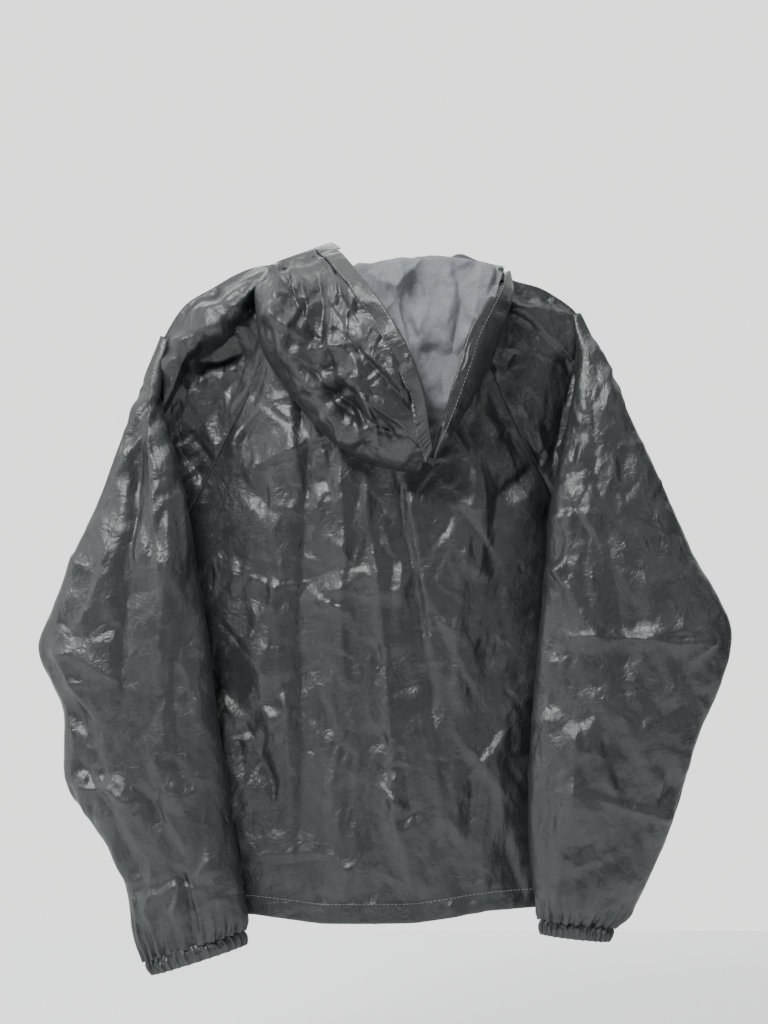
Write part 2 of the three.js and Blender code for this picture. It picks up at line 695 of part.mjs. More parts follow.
// A point of the hood: share s from its left to its right, and turn t from the face edge round to the nape.
function hoodPoint(s, t) {
  const [x, low, outerTop, innerTop, depth] = hoodStations[0].map((_, k) => {
    return through(hoodStations.map((row) => row[k]), s);
  });
  const middle = HOOD_INNER_Y + depth / 2;
  const bend = Math.min(depth / 2, HOOD_TURN_R);
  const straight = (1 - HOOD_TURN) / 2;
  if (t < straight) {
    return new THREE.Vector3(x, middle + depth / 2, mix(outerTop, low + bend, t / straight));
  }
  if (t > 1 - straight) {
    return new THREE.Vector3(x, middle - depth / 2, mix(low + bend, innerTop, (t - 1 + straight) / straight));
  }
  const turn = ((t - straight) / HOOD_TURN) * Math.PI;
  return new THREE.Vector3(x, middle + (depth / 2) * Math.cos(turn), low + bend - bend * Math.sin(turn));
}
const hoodLeft = (u, v) => hoodPoint(mix(0, HOOD_SEAM_SHARE - HOOD_SEAM_GAP, u), v);
const hoodRight = (u, v) => hoodPoint(mix(HOOD_SEAM_SHARE + HOOD_SEAM_GAP, 1, u), v);
add('hood_left_panel', sheet(hoodLeft, 10, 12), 'shell');
add('hood_right_panel', sheet(hoodRight, 6, 12), 'shell');

// The casing along the face edge, a channel that opens towards the panel's edge, with its elastic.
// Each point is [x, distance out from the hood's inner layer, z].
const faceEdge = [
  [68, 60, 6], [44, 63, -8], [17, 65, -52], [-10, 64, -97], [-35, 59, -138], [-47, 56, -151],
  [-62, 53, -156], [-77, 49, -151], [-88, 45, -136], [-98, 40, -102], [-109, 34, -58], [-124, 26, -6],
].map(([x, out, z]) => [x, HOOD_INNER_Y + out, z]);
function faceFrames(count) {
  return Array.from({ length: count + 1 }, (_, k) => {
    const t = k / count;
    const origin = along(faceEdge, t);
    const ahead = along(faceEdge, Math.min(t + 0.01, 1)).sub(along(faceEdge, Math.max(t - 0.01, 0)));
    ahead.y = 0;
    const b = new THREE.Vector3(0, 1, 0);
    return { origin, a: ahead.normalize().cross(b).negate(), b };
  });
}
const hoodChannel = ELASTIC_THICK / 2 + FIT_GAP;
const hoodWall = hoodChannel + CASING_WALL;
add(
  'hood_face_casing',
  sweep(
    [
      [CASING_WIDTH, -hoodWall], [CASING_WIDTH, -hoodChannel], [CASING_WALL, -hoodChannel],
      [CASING_WALL, hoodChannel], [CASING_WIDTH, hoodChannel], [CASING_WIDTH, hoodWall], [0, hoodWall],
      [0, -hoodWall],
    ].map(([a, b]) => [-a + CASING_WIDTH, b]),
    faceFrames(FACE_STEPS),
  ),
  'shell',
);
add(
  'hood_face_elastic',
  sweep(
    [
      [HOOD_ELASTIC_START, -ELASTIC_THICK / 2], [HOOD_ELASTIC_END, -ELASTIC_THICK / 2],
      [HOOD_ELASTIC_END, ELASTIC_THICK / 2], [HOOD_ELASTIC_START, ELASTIC_THICK / 2],
    ],
    faceFrames(FACE_STEPS),
  ),
  'elastic',
);

// ---- inside the back neck: seam tape, hang loop and a blank care label ----
const neckInside = (x, z) => backY(x, z) - CLOTH / 2 - FIT_GAP;
add(
  'neck_tape',
  sheet(
    (u, v) => {
      const x = mix(-NECK_TAPE_HALF, NECK_TAPE_HALF, u);
      const z = mix(NECK_TAPE_TOP, NECK_TAPE_FOOT, v);
      return new THREE.Vector3(x, neckInside(x, z) - NECK_TAPE_THICK / 2, z);
    },
    8,
    1,
    NECK_TAPE_THICK,
  ),
  'lining',
);
function hangLoop() {
  const far = neckInside(LOOP_WIDTH / 2, NECK_TAPE_TOP) - NECK_TAPE_THICK - FIT_GAP;
  const foot = LOOP_FOOT;
  const outer = box([-LOOP_WIDTH / 2, far - LOOP_DEPTH, foot], [LOOP_WIDTH / 2, far, foot + LOOP_HEIGHT]);
  const eye = box(
    [-LOOP_WIDTH / 2 + LOOP_TAPE, far - LOOP_DEPTH - 1, foot + LOOP_TAPE],
    [LOOP_WIDTH / 2 - LOOP_TAPE, far + 1, foot + LOOP_HEIGHT - LOOP_TAPE],
  );
  return cut(outer, eye);
}
add('hang_loop', hangLoop(), 'tape');
const labelY = neckInside(0, LABEL_TOP) - LABEL_STAND;
add(
  'care_label',
  box(
    [-LABEL_WIDTH / 2, labelY - LABEL_THICK, LABEL_TOP - LABEL_HEIGHT],
    [LABEL_WIDTH / 2, labelY, LABEL_TOP],
  ),
  'label',
);

export default jacket;
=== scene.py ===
import math

import bpy
import numpy as np
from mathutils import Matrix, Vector


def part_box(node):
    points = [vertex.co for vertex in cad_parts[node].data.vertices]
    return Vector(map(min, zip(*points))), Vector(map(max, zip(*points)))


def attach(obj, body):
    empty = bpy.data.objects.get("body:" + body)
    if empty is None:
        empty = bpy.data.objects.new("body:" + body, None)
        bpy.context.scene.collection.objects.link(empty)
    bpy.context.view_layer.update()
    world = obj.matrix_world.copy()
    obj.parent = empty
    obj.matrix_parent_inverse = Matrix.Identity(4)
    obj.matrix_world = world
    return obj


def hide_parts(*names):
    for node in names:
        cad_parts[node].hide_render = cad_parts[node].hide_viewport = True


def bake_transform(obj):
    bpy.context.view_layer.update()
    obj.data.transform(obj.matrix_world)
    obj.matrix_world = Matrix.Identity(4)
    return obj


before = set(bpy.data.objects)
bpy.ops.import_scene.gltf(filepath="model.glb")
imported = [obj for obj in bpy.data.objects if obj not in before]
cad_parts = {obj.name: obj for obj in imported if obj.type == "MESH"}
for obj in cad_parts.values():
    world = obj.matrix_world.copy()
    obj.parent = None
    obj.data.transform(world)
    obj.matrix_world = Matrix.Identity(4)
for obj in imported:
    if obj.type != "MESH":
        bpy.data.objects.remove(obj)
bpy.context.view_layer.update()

MM = 0.001

# Every length below is in millimetres. The jacket hangs from the neck origin: +Z up, +Y out of its back and
# +X to the wearer's left.

# ---- sizes shared with the CAD model ----
HEM_DROP = 634.0
ARMPIT_DROP = 270.0
HEM_HALF = 230.0
ARMPIT_HALF = 212.0
NECK_HALF = 84.0
BACK_DEPTH = 48.0
FRONT_DEPTH = 58.0
SIDE_DEPTH = -14.0
FRONT_EDGE = 19.0
FOLD_TOP = (38.0, -70.0)
CHAIN_INNER = 11.0
CHAIN_WIDTH = 5.0

# ---- cloth ----
CLOTH_THICK = 0.6
HEM_TURN = 19.0
PITCH = 2.6  # the mesh's usual spacing


# ---- noise and folds ----
def table(seed, size=128):
    return np.random.default_rng(seed).uniform(-1, 1, (size, size))


def corners(x, y, heights):
    n = heights.shape[0]
    i = np.floor(x).astype(int)
    j = np.floor(y).astype(int)
    fx = x - i
    fy = y - j
    i, j, k, m = i % n, j % n, (i + 1) % n, (j + 1) % n
    return fx, fy, heights[i, j], heights[k, j], heights[i, m], heights[k, m]


def soft(x, y, seed):
    """Rounded noise, one bump to a unit square."""
    fx, fy, a, b, c, d = corners(x, y, table(seed))
    fx = fx * fx * (3 - 2 * fx)
    fy = fy * fy * (3 - 2 * fy)
    return (a * (1 - fx) + b * fx) * (1 - fy) + (c * (1 - fx) + d * fx) * fy


def facets(x, y, seed):
    """Flat triangles of random height that meet at sharp creases."""
    fx, fy, a, b, c, d = corners(x, y, table(seed))
    low = a + fx * (b - a) + fy * (c - a)
    high = d + (1 - fx) * (c - d) + (1 - fy) * (b - d)
    return np.where(fx + fy < 1, low, high)


def crumple(x, y, seed, size=34.0, height=2.4, octaves=3, stretch=1.6, gain=0.5):
    """Paper-like creases: facets in turned and bent layers, longer along y than across."""
    total = np.zeros_like(x)
    for k in range(octaves):
        s = size * 0.52 ** k
        angle = 0.5 + 1.3 * k + 0.37 * seed
        bend = 0.9 * s
        xs = x + bend * soft(x / (2.3 * s), y / (2.3 * s), seed + 50 + k)
        ys = y / stretch + bend * soft(x / (2.1 * s), y / (2.1 * s), seed + 70 + k)
        xr = xs * math.cos(angle) - ys * math.sin(angle)
        yr = xs * math.sin(angle) + ys * math.cos(angle)
        total += gain ** k * facets(xr / s, yr / s, seed + k)
    patch = 0.75 + 0.4 * soft(x / 90.0, y / 120.0, seed + 90)
    return height * total * patch


def step(t):
    t = np.clip(t, 0, 1)
    return t * t * (3 - 2 * t)


def through(values, t):
    """A smooth line through evenly spaced values, at shares t."""
    values = np.asarray(values, float)
    last = len(values) - 1
    at = np.clip(t, 0, 1) * last
    i = np.minimum(np.floor(at).astype(int), last - 1)
    f = at - i
    ends = np.concatenate([[2 * values[0] - values[1]], values, [2 * values[-1] - values[-2]]])
    a, b, c, d = ends[i], ends[i + 1], ends[i + 2], ends[i + 3]
    curved = (2 * a - 5 * b + 4 * c - d) * f ** 2 + (3 * b - a - 3 * c + d) * f ** 3
    return 0.5 * (2 * b + (c - a) * f + curved)


def path(points, t):
    """Points of a smooth line through 3-D points, at shares t."""
    points = np.asarray(points, float)
    return np.stack([through(points[:, k], t) for k in range(points.shape[1])], -1)


def fold(a, b, points, height, left, right, ends=0.18):
    """A crease along points [(a, b), ...]: it falls off over left and right, and fades at its ends."""
    best = np.full(a.shape, 1e9)
    side = np.zeros(a.shape)
    share = np.zeros(a.shape)
    legs = len(points) - 1
    for k, ((a0, b0), (a1, b1)) in enumerate(zip(points, points[1:])):
        da, db = a1 - a0, b1 - b0
        length = math.hypot(da, db)
        t = np.clip(((a - a0) * da + (b - b0) * db) / length ** 2, 0, 1)
        away = np.hypot(a - a0 - t * da, b - b0 - t * db)
        nearer = away < best
        turn = ((a - a0) * db - (b - b0) * da) / length
        best = np.where(nearer, away, best)
        side = np.where(nearer, turn, side)
        share = np.where(nearer, (k + t) / legs, share)
    width = np.where(side < 0, left, right)
    fade = step(share / ends) * step((1 - share) / ends)
    return height * np.exp(-best / width) * fade


def folded(a, b, folds, ends=0.18):
    """The sum of the creases in folds: each is (points, height, left, right)."""
    return sum(fold(a, b, points, height, left, right, ends) for points, height, left, right in folds)


def creases(a, b, seed, count, height=2.6, width=15.0, length=(35, 130), lean=0.35):
    """Straight creases strewn over the sheet: planar slopes that meet at sharp ridges and valleys."""
    rng = np.random.default_rng(seed)
    total = np.zeros_like(a)
    for _ in range(count):
        ca, cb = rng.uniform(a.min(), a.max()), rng.uniform(b.min(), b.max())
        turn = rng.normal(0, lean)
        if rng.random() < 0.25:
            turn += rng.choice([-1, 1]) * rng.uniform(0.7, 1.4)
        half = rng.uniform(*length) / 2
        left, right = width * rng.uniform(0.25, 1.6, 2)
        along_it = (a - ca) * math.sin(turn) + (b - cb) * math.cos(turn)
        off = (a - ca) * math.cos(turn) - (b - cb) * math.sin(turn)
        off = off + 0.06 * half * np.sin(along_it / half * 1.5 + rng.uniform(0, 6))
        slope = np.clip(1 - np.abs(off) / np.where(off < 0, left, right), 0, 1)
        fade = np.clip(1.5 * (1 - np.abs(along_it) / half), 0, 1)
        total += rng.choice([-1, 1]) * height * rng.uniform(0.35, 1.2) * slope * fade
    return total


# ---- meshes ----
def normals_of(p, wrap=False):
    if wrap:
        du = np.roll(p, -1, 1) - np.roll(p, 1, 1)
    else:
        du = np.gradient(p, axis=1)
    dv = np.gradient(p, axis=0)
    n = np.cross(du, dv)
    return n / np.maximum(np.linalg.norm(n, axis=-1, keepdims=True), 1e-9)


def mesh_object(name, verts, faces, materials, smooth=True):
    mesh = bpy.data.meshes.new(name)
    mesh.from_pydata((np.asarray(verts, float).reshape(-1, 3) * MM).tolist(), [], faces)
    mesh.validate()
    for m in materials:
        mesh.materials.append(m)
    mesh.polygons.foreach_set("use_smooth", [smooth] * len(mesh.polygons))
    obj = bpy.data.objects.new(name, mesh)
    bpy.context.scene.collection.objects.link(obj)
    return obj


def grid_faces(rows, cols, wrap=False, flip=False):
    j, i = np.mgrid[0:rows - 1, 0:cols if wrap else cols - 1]
    k = (i + 1) % cols
    top, low = j * cols, (j + 1) * cols
    quads = np.stack([top + i, top + k, low + k, low + i], -1).reshape(-1, 4)
    return (quads[:, ::-1] if flip else quads).tolist()


class Cloth:
    """A sheet over place(u, v), with relief(u, v, p) raised along its outward side."""

    def __init__(self, name, place, across, down, relief=None, wrap=False, out=(0, 1, 0), pitch=PITCH,
                 outside=None, inside=None, thick=CLOTH_THICK):
        cols = max(int(across / pitch), 8) + (0 if wrap else 1)
        rows = max(int(down / pitch), 2) + 1
        u = np.arange(cols) / (cols if wrap else cols - 1)
        self.u, self.v = np.meshgrid(u, np.linspace(0, 1, rows))
        p = place(self.u, self.v)
        n = normals_of(p, wrap)
        middle = n[rows // 2, cols // 4 if wrap else cols // 2]
        self.flip = float(np.dot(middle, out)) < 0
        if self.flip:
            n = -n
        if relief is not None:
            p = p + n * relief(self.u, self.v, p)[..., None]
            n = normals_of(p, wrap) * (-1 if self.flip else 1)
        self.p, self.n, self.wrap = p, n, wrap
        mats = [outside or SHELL, inside or LINING]
        self.obj = mesh_object(name, p, grid_faces(rows, cols, wrap, self.flip), mats)
        solid = self.obj.modifiers.new("thickness", "SOLIDIFY")
        solid.thickness = thick * MM
        solid.offset = -1
        solid.material_offset = 1
        solid.use_even_offset = False

    def at(self, u, v, stand=0.0):
        """Points of the sheet at shares u and v (arrays), stand off its outward side."""
        rows, cols = self.p.shape[:2]
        fi = np.clip(u, 0, 1) * (cols - 1)
        fj = np.clip(v, 0, 1) * (rows - 1)
        i = np.clip(np.floor(fi).astype(int), 0, cols - 2)
        j = np.clip(np.floor(fj).astype(int), 0, rows - 2)
        a, b = (fi - i)[:, None], (fj - j)[:, None]

        def blend_of(x):
            top = x[j, i] * (1 - a) + x[j, i + 1] * a
            return top * (1 - b) + (x[j + 1, i] * (1 - a) + x[j + 1, i + 1] * a) * b

        return blend_of(self.p) + stand * blend_of(self.n), blend_of(self.n)


def tube_along(points, radius, sides=6, squash=1.0, normal=None):
    """Vertices and faces of a capped tube along points."""
    points = np.asarray(points, float)
    ahead = np.gradient(points, axis=0)
    ahead /= np.maximum(np.linalg.norm(ahead, axis=1, keepdims=True), 1e-9)
    up = np.broadcast_to((0.0, 0.0, 1.0) if normal is None else normal, points.shape).astype(float)
    a = np.cross(ahead, up)
    a /= np.maximum(np.linalg.norm(a, axis=1, keepdims=True), 1e-9)
    b = np.cross(a, ahead)
    turn = np.arange(sides) / sides * 2 * math.pi
    ring = a[:, None] * np.cos(turn)[None, :, None] + squash * b[:, None] * np.sin(turn)[None, :, None]
    verts = (points[:, None] + radius * ring).reshape(-1, 3)
    faces = grid_faces(len(points), sides, wrap=True)
    last = (len(points) - 1) * sides
    faces.append(list(range(sides))[::-1])
    faces.append([last + k for k in range(sides)])
    return verts, faces


def several(name, parts, materials, smooth=True):
    """One object of several (verts, faces) parts."""
    verts, faces, base = [], [], 0
    for v, f in parts:
        verts.append(np.asarray(v, float).reshape(-1, 3))
        faces += [[base + k for k in face] for face in f]
        base += len(verts[-1])
    return mesh_object(name, np.concatenate(verts), faces, materials, smooth)


def stitches(name, points, normals, material, length=2.6, gap=1.4, radius=0.28):
    """A row of short thread stitches lying along points."""
    steps = np.linalg.norm(np.diff(points, axis=0), axis=1)
    run = np.concatenate([[0], np.cumsum(steps)])
    parts = []
    start = 0.5
    while start + length < run[-1]:
        s = start + length * np.array([0.0, 0.2, 0.5, 0.8, 1.0])
        line = np.stack([np.interp(s, run, points[:, k]) for k in range(3)], -1)
        side = np.stack([np.interp(s, run, normals[:, k]) for k in range(3)], -1)
        line += side * np.array([-0.3, 0.12, 0.25, 0.12, -0.3])[:, None]
        parts.append(tube_along(line, radius, 5, normal=side))
        start += length + gap
    return several(name, parts, [material])


# ---- materials ----
class Graph:
    """A node tree under construction, with the few nodes that the looks are made of."""

    def __init__(self, tree):
        self.nodes = tree.nodes
        self.links = tree.links

    def add(self, kind, **values):
        """A node of this kind. The values are its input sockets, with _ for a space."""
        node = self.nodes.new("ShaderNode" + kind)
        for socket, value in values.items():
            node.inputs[socket.replace("_", " ")].default_value = value
        return node

    def link(self, output, node, socket="Vector"):
        self.links.new(output, node.inputs[socket])

    def place(self, stretch=(1, 1, 1)):
        mapping = self.add("Mapping", Scale=stretch)
        self.link(self.add("TexCoord").outputs["Object"], mapping)
        return mapping.outputs["Vector"]

    def noise(self, where, scale, detail=3.0, rough=0.55, distort=0.0):
        node = self.add("TexNoise", Scale=scale, Detail=detail, Roughness=rough, Distortion=distort)
        self.link(where, node)
        return node.outputs["Fac"]

    def ramp(self, value, stops):
        node = self.add("ValToRGB")
        elements = node.color_ramp.elements
        while len(elements) < len(stops):
            elements.new(0.5)
        for element, (at, color) in zip(elements, stops):
            element.position = at
            element.color = (*color, 1)
        self.link(value, node, "Fac")
        return node.outputs["Color"]

    def spread(self, value, low, high, to_low, to_high):
        node = self.add("MapRange", From_Min=low, From_Max=high, To_Min=to_low, To_Max=to_high)
        self.link(value, node, "Value")
        return node.outputs["Result"]

    def bump(self, height, strength, distance, before=None):
        node = self.add("Bump", Strength=strength, Distance=distance)
        self.link(height, node, "Height")
        if before is not None:
            self.link(before, node, "Normal")
        return node.outputs["Normal"]

    def bent(self, where, scale, reach):
        """The place where, moved about by noise."""
        wobble = self.add("TexNoise", Scale=scale, Detail=2)
        self.link(where, wobble)
        moved = self.add("VectorMath")
        moved.operation = "MULTIPLY_ADD"
        moved.inputs[1].default_value = (reach, reach, reach)
        self.link(wobble.outputs["Color"], moved, 0)
        self.link(where, moved, 2)
        return moved.outputs[0]

    def paper_creases(self, before, layers):
        """Facets that meet at sharp lines: each layer is (cells to a metre, slope)."""
        normal = before
        for scale, slope in layers:
            cells = self.add("TexVoronoi", Scale=scale)
            self.link(self.bent(self.place((1, 1, 0.6)), 0.7 * scale, 1.1 / scale), cells)
            normal = self.bump(cells.outputs["Distance"], 1.0, slope / scale, normal)
        return normal


def shader(name, color, rough, metal=0.0, specular=0.5):
    material = bpy.data.materials.new(name)
    material.use_nodes = True
    graph = Graph(material.node_tree)
    bsdf = graph.nodes["Principled BSDF"]
    bsdf.inputs["Base Color"].default_value = (*color, 1)
    bsdf.inputs["Roughness"].default_value = rough
    bsdf.inputs["Metallic"].default_value = metal
    bsdf.inputs["Specular IOR Level"].default_value = specular
    return material, graph, bsdf


def tint(color, share):
    return tuple(share * c for c in color)


def shell_material():
    """The outer laminate: dark grey with a green cast, a soft gloss, fine creases and a faint grain."""
    material, graph, bsdf = shader("shell_laminate", (0.024, 0.029, 0.029), 0.4, specular=0.6)
    where = graph.place()
    grain_place = graph.place((1, 1, 0.16))
    cloud = graph.noise(where, 14, 4, 0.6)
    tone = graph.ramp(cloud, [(0.3, (0.008, 0.0105, 0.0125)), (0.5, (0.0115, 0.015, 0.0152)),
                              (0.75, (0.0165, 0.020, 0.0185))])
    graph.link(tone, bsdf, "Base Color")
    rub = graph.noise(where, 60, 5, 0.7)
    graph.link(graph.spread(rub, 0.3, 0.7, 0.37, 0.55), bsdf, "Roughness")
    cells = graph.add("TexVoronoi", Scale=130)
    cells.feature = "DISTANCE_TO_EDGE"
    graph.link(graph.bent(where, 55, 0.02), cells)
    wrinkles = graph.spread(cells.outputs["Distance"], 0.0, 0.25, 0.0, 1.0)
    ridges = graph.add("TexNoise", Scale=24, Detail=5, Roughness=0.55)
    ridges.noise_type = "RIDGED_MULTIFRACTAL"
    ridges.normalize = False
    ridges.inputs["Lacunarity"].default_value = 2.1
    ridges.inputs["Offset"].default_value = 0.9
    graph.link(where, ridges)
    creases = graph.bump(ridges.outputs["Fac"], 0.5, 0.0012)
    creases = graph.paper_creases(creases, ((44, 0.05), (105, 0.07)))
    creases = graph.bump(wrinkles, 0.3, 0.0006, creases)
    creases = graph.bump(graph.noise(where, 260, 4, 0.62), 0.35, 0.0005, creases)
    creases = graph.bump(graph.noise(grain_place, 1500, 2, 0.5), 0.18, 0.0002, creases)
    graph.link(creases, bsdf, "Normal")
    return material


def lining_material():
    """The inside face: a heathered light grey non-woven."""
    material, graph, bsdf = shader("heather_lining", (0.33, 0.35, 0.37), 0.85, specular=0.25)
    where = graph.place()
    fibres = graph.noise(where, 900, 5, 0.75, 0.6)
    tone = graph.ramp(fibres, [(0.30, (0.08, 0.088, 0.096)), (0.5, (0.15, 0.16, 0.172)),
                               (0.72, (0.22, 0.232, 0.245))])
    graph.link(tone, bsdf, "Base Color")
    fine = graph.bump(graph.noise(where, 420, 4, 0.65), 0.4, 0.0004)
    graph.link(graph.paper_creases(fine, ((60, 0.08), (130, 0.08))), bsdf, "Normal")
    return material


def ribbed_material(name, color, rough, scale=1400.0):
    """A woven tape: fine ribs with a little colour variation."""
    material, graph, bsdf = shader(name, color, rough, specular=0.35)
    where = graph.place()
    wave = graph.add("TexWave", Scale=scale / 6.28, Distortion=0.6)
    wave.bands_direction = "Z"
    graph.link(where, wave)
    lint = graph.noise(where, 500, 4, 0.7)
    graph.link(graph.ramp(lint, [(0.3, tint(color, 0.7)), (0.7, tint(color, 1.35))]), bsdf, "Base Color")
    graph.link(graph.bump(wave.outputs["Fac"], 0.5, 0.0003), bsdf, "Normal")
    return material


def worn_metal(name, color, metal=1.0, rough=0.38):
    """Painted or plated metal that shines more where it is rubbed."""
    material, graph, bsdf = shader(name, color, rough, metal)
    rub = graph.noise(graph.place(), 700, 5, 0.7)
    graph.link(graph.spread(rub, 0.3, 0.7, rough - 0.12, rough + 0.14), bsdf, "Roughness")
    graph.link(graph.ramp(rub, [(0.35, tint(color, 0.8)), (0.75, tint(color, 1.3))]), bsdf, "Base Color")
    graph.link(graph.bump(rub, 0.08, 0.0002), bsdf, "Normal")
    return material


def moulded(name, color, rough=0.5):
    """Moulded plastic or rubber with a fine matt texture."""
    material, graph, bsdf = shader(name, color, rough)
    grain = graph.noise(graph.place(), 2400, 3, 0.6)
    graph.link(graph.spread(grain, 0.3, 0.7, rough - 0.08, rough + 0.1), bsdf, "Roughness")
    graph.link(graph.bump(grain, 0.2, 0.0001), bsdf, "Normal")
    return material


SHELL = shell_material()
LINING = lining_material()
TAPE = ribbed_material("zip_tape_weave", (0.018, 0.020, 0.022), 0.75)
ELASTIC = ribbed_material("elastic_knit", (0.012, 0.013, 0.014), 0.8, 2200)
THREAD = ribbed_material("thread_light", (0.20, 0.22, 0.22), 0.6, 6000)
THREAD_DARK = ribbed_material("thread_dark", (0.02, 0.022, 0.024), 0.6, 6000)
LABEL = ribbed_material("label_satin", (0.62, 0.63, 0.62), 0.5, 5000)
TEETH = moulded("zip_teeth_plastic", (0.012, 0.013, 0.014), 0.38)
PULL = moulded("pull_rubber", (0.016, 0.017, 0.018), 0.6)
METAL = worn_metal("zip_metal_dark", (0.10, 0.103, 0.108))
STUD = worn_metal("stud_metal_dark", (0.085, 0.088, 0.092))


# ---- torso ----
RAGLAN_Z = [-ARMPIT_DROP, -205.0, -115.0, -60.0, 4.0]
RAGLAN_X = [ARMPIT_HALF, 176.0, 130.0, 108.0, NECK_HALF]


def half_width(z):
    low = ARMPIT_HALF + (HEM_HALF - ARMPIT_HALF) * (-ARMPIT_DROP - z) / (HEM_DROP - ARMPIT_DROP)
    return np.where(z <= -ARMPIT_DROP, low, np.interp(z, RAGLAN_Z, RAGLAN_X))


def drop(z):
    return np.clip(-z / ARMPIT_DROP, 0, 1)


def back_y(x, z):
    edge = 36 + (SIDE_DEPTH + 4 - 36) * drop(z) ** 0.8 - 4 * np.clip((-z - ARMPIT_DROP) / 200, 0, 1)
    middle = BACK_DEPTH - 2 + 2 * np.minimum(drop(z) * 3, 1)
    share = 1 - np.minimum(np.abs(x) / half_width(z), 1) ** 2.5
    return edge + (middle - edge) * share


def front_y(x, z):
    side = (FRONT_DEPTH + SIDE_DEPTH - 8) * step((np.abs(x) - 182) / 50)
    top = (FRONT_DEPTH - 18) * step((z - FOLD_TOP[1]) / 66)
    return -FRONT_DEPTH + np.maximum(side, top)


# The hem hangs unevenly: across at these x, it is lifted by these amounts.
HEM_LIFT = ([-158, -112, -42, 54, 122], [11, 9, -2, -2, 5])


def back_place(u, v):
    z = 4 - v * (HEM_DROP + 4)
    x = (2 * u - 1) * half_width(z)
    z = z + np.interp(x, *HEM_LIFT) * step((v - 0.8) / 0.2)
    return np.stack([x, back_y(x, z), z], -1)


# The long folds that fall from the nape: [(x, z), ...], height, and how far each side reaches.
BACK_FOLDS = [
    ([(-30, -190), (-40, -250), (-52, -320), (-58, -400)], 5.5, 5, 14),
    ([(-104, -175), (-112, -240), (-100, -300)], 6.0, 16, 6),
    ([(36, -175), (30, -240), (34, -330), (26, -420)], 4.5, 14, 6),
    ([(100, -160), (104, -230), (90, -300)], 5.0, 6, 16),
    ([(128, -290), (100, -302), (60, -296)], 4.5, 10, 4),
    ([(70, -300), (50, -318), (20, -326)], 5.0, 12, 4),
    ([(-60, -330), (-90, -350), (-110, -400)], 4.0, 10, 5),
    ([(-10, -520), (-30, -560), (-40, -618)], 4.0, 8, 14),
    ([(30, -440), (44, -500), (40, -600)], 4.0, 8, 16),
    ([(150, -400), (150, -500), (140, -600)], 5.0, 12, 12),
    ([(64, -120), (70, -205), (76, -330), (74, -470), (78, -612)], -9.0, 7, 28),
    ([(12, -160), (7, -232), (-3, -300), (-11, -385), (-16, -480), (-24, -612)], 9.0, 8, 34),
    ([(-20, -170), (-27, -226), (-41, -298), (-55, -386), (-62, -470)], -9.0, 24, 7),
    ([(-96, -120), (-99, -200), (-88, -290), (-80, -360), (-84, -450)], 5.0, 18, 10),
    ([(-128, -170), (-118, -260), (-128, -340), (-150, -420)], -4.0, 14, 22),
    ([(120, -190), (110, -265), (96, -330), (92, -430)], 4.0, 22, 10),
    ([(168, -330), (130, -370), (96, -400)], 4.0, 8, 12),
    ([(175, -380), (132, -432), (104, -500), (98, -560)], -5.0, 10, 14),
    ([(92, -395), (86, -470), (84, -550)], 4.5, 6, 18),
    ([(-70, -560), (-60, -480), (-44, -420)], 4.0, 10, 18),
    ([(-130, -560), (-118, -470), (-140, -400)], 4.5, 14, 10),
    ([(70, -300), (20, -306), (-8, -312)], 3.0, 14, 5),
    ([(110, -215), (60, -232), (20, -205)], 2.6, 10, 5),
    ([(-60, -240), (-100, -285), (-130, -300)], 2.6, 6, 12),
    ([(150, -250), (190, -300), (200, -380)], -4.0, 12, 14),
]


def back_relief(u, v, p):
    x, z = p[..., 0], p[..., 2]
    total = crumple(x, z, 11, 50, 3.0, 3, 2.0) + creases(x, z, 12, 150, 5.2, 17)
    total += creases(x, z, 13, 420, 1.9, 6.5, (14, 60), 0.6)
    total = total * (1 - 0.5 * step((np.abs(x) - 130) / 70))
    total += folded(x, z, BACK_FOLDS)
    hem = step((-z - HEM_DROP + 60) / 60)
    total = total * (1 - 0.45 * hem) + hem * 2.5 * soft(x / 42, z / 300, 31)
    seam = np.clip(np.minimum(u, 1 - u) / 0.03, 0, 1)
    pucker = 0.35 * np.sin(z / 1.9 + 2 * soft(z / 40, x / 40, 5)) * (1 - seam)
    turned = 0.9 * step((HEM_TURN - (z + HEM_DROP)) / 1.6)
    return total * seam + pucker + turned


back = Cloth("back_cloth", back_place, 2 * HEM_HALF, HEM_DROP, back_relief)
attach(back.obj, "torso")
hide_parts("back_panel")


# ---- sleeve tops ----
SHOULDERS = {
    "left": dict(
        sign=1,
        roll=23,
        hollow=13,
        roll_end=0.36,
        top=[(90, 40, 20), (118, 12, 20), (140, 5, 13), (163, 2, 0), (191, 1, -17), (209, 0, -42),
             (221, 0, -68)],
        folds=[
            ([(120, -40), (160, -42), (212, -62)], 9.0, 9, 16),
            ([(118, -18), (150, -22), (190, -34)], 5.0, 7, 10),
            ([(122, -62), (160, -76), (200, -78)], -8.0, 12, 10),
            ([(200, -90), (176, -130), (150, -190)], 4.0, 12, 12),
            ([(205, -110), (196, -170), (200, -230)], -5.0, 12, 12),
        ],
    ),
    "right": dict(
        sign=-1,
        roll=8,
        hollow=5,
        roll_end=0.3,
        top=[(96, 40, 12), (124, 12, 12), (142, 5, 6), (165, 2, 0), (182, 1, -9), (200, 0, -22),
             (212, 0, -38)],
        folds=[
            ([(130, -20), (160, -22), (200, -30)], 5.0, 8, 12),
            ([(120, -60), (160, -66), (190, -80)], 3.0, 10, 8),
            ([(208, -60), (190, -130), (176, -200)], -7.0, 14, 12),
            ([(135, -100), (160, -140), (186, -190)], 2.6, 6, 8),
        ],
    ),
}
TOP_FAN = 0.07  # the share past the armhole that opens out as a web when the arm swings
FAN_REACH = 18.0  # how far the web goes into the sleeve
FAN_BELOW_TIP = 45.0  # it widens over this height below the shoulder's tip
FAN_TAPER = 70.0  # and narrows over this height above the armpit


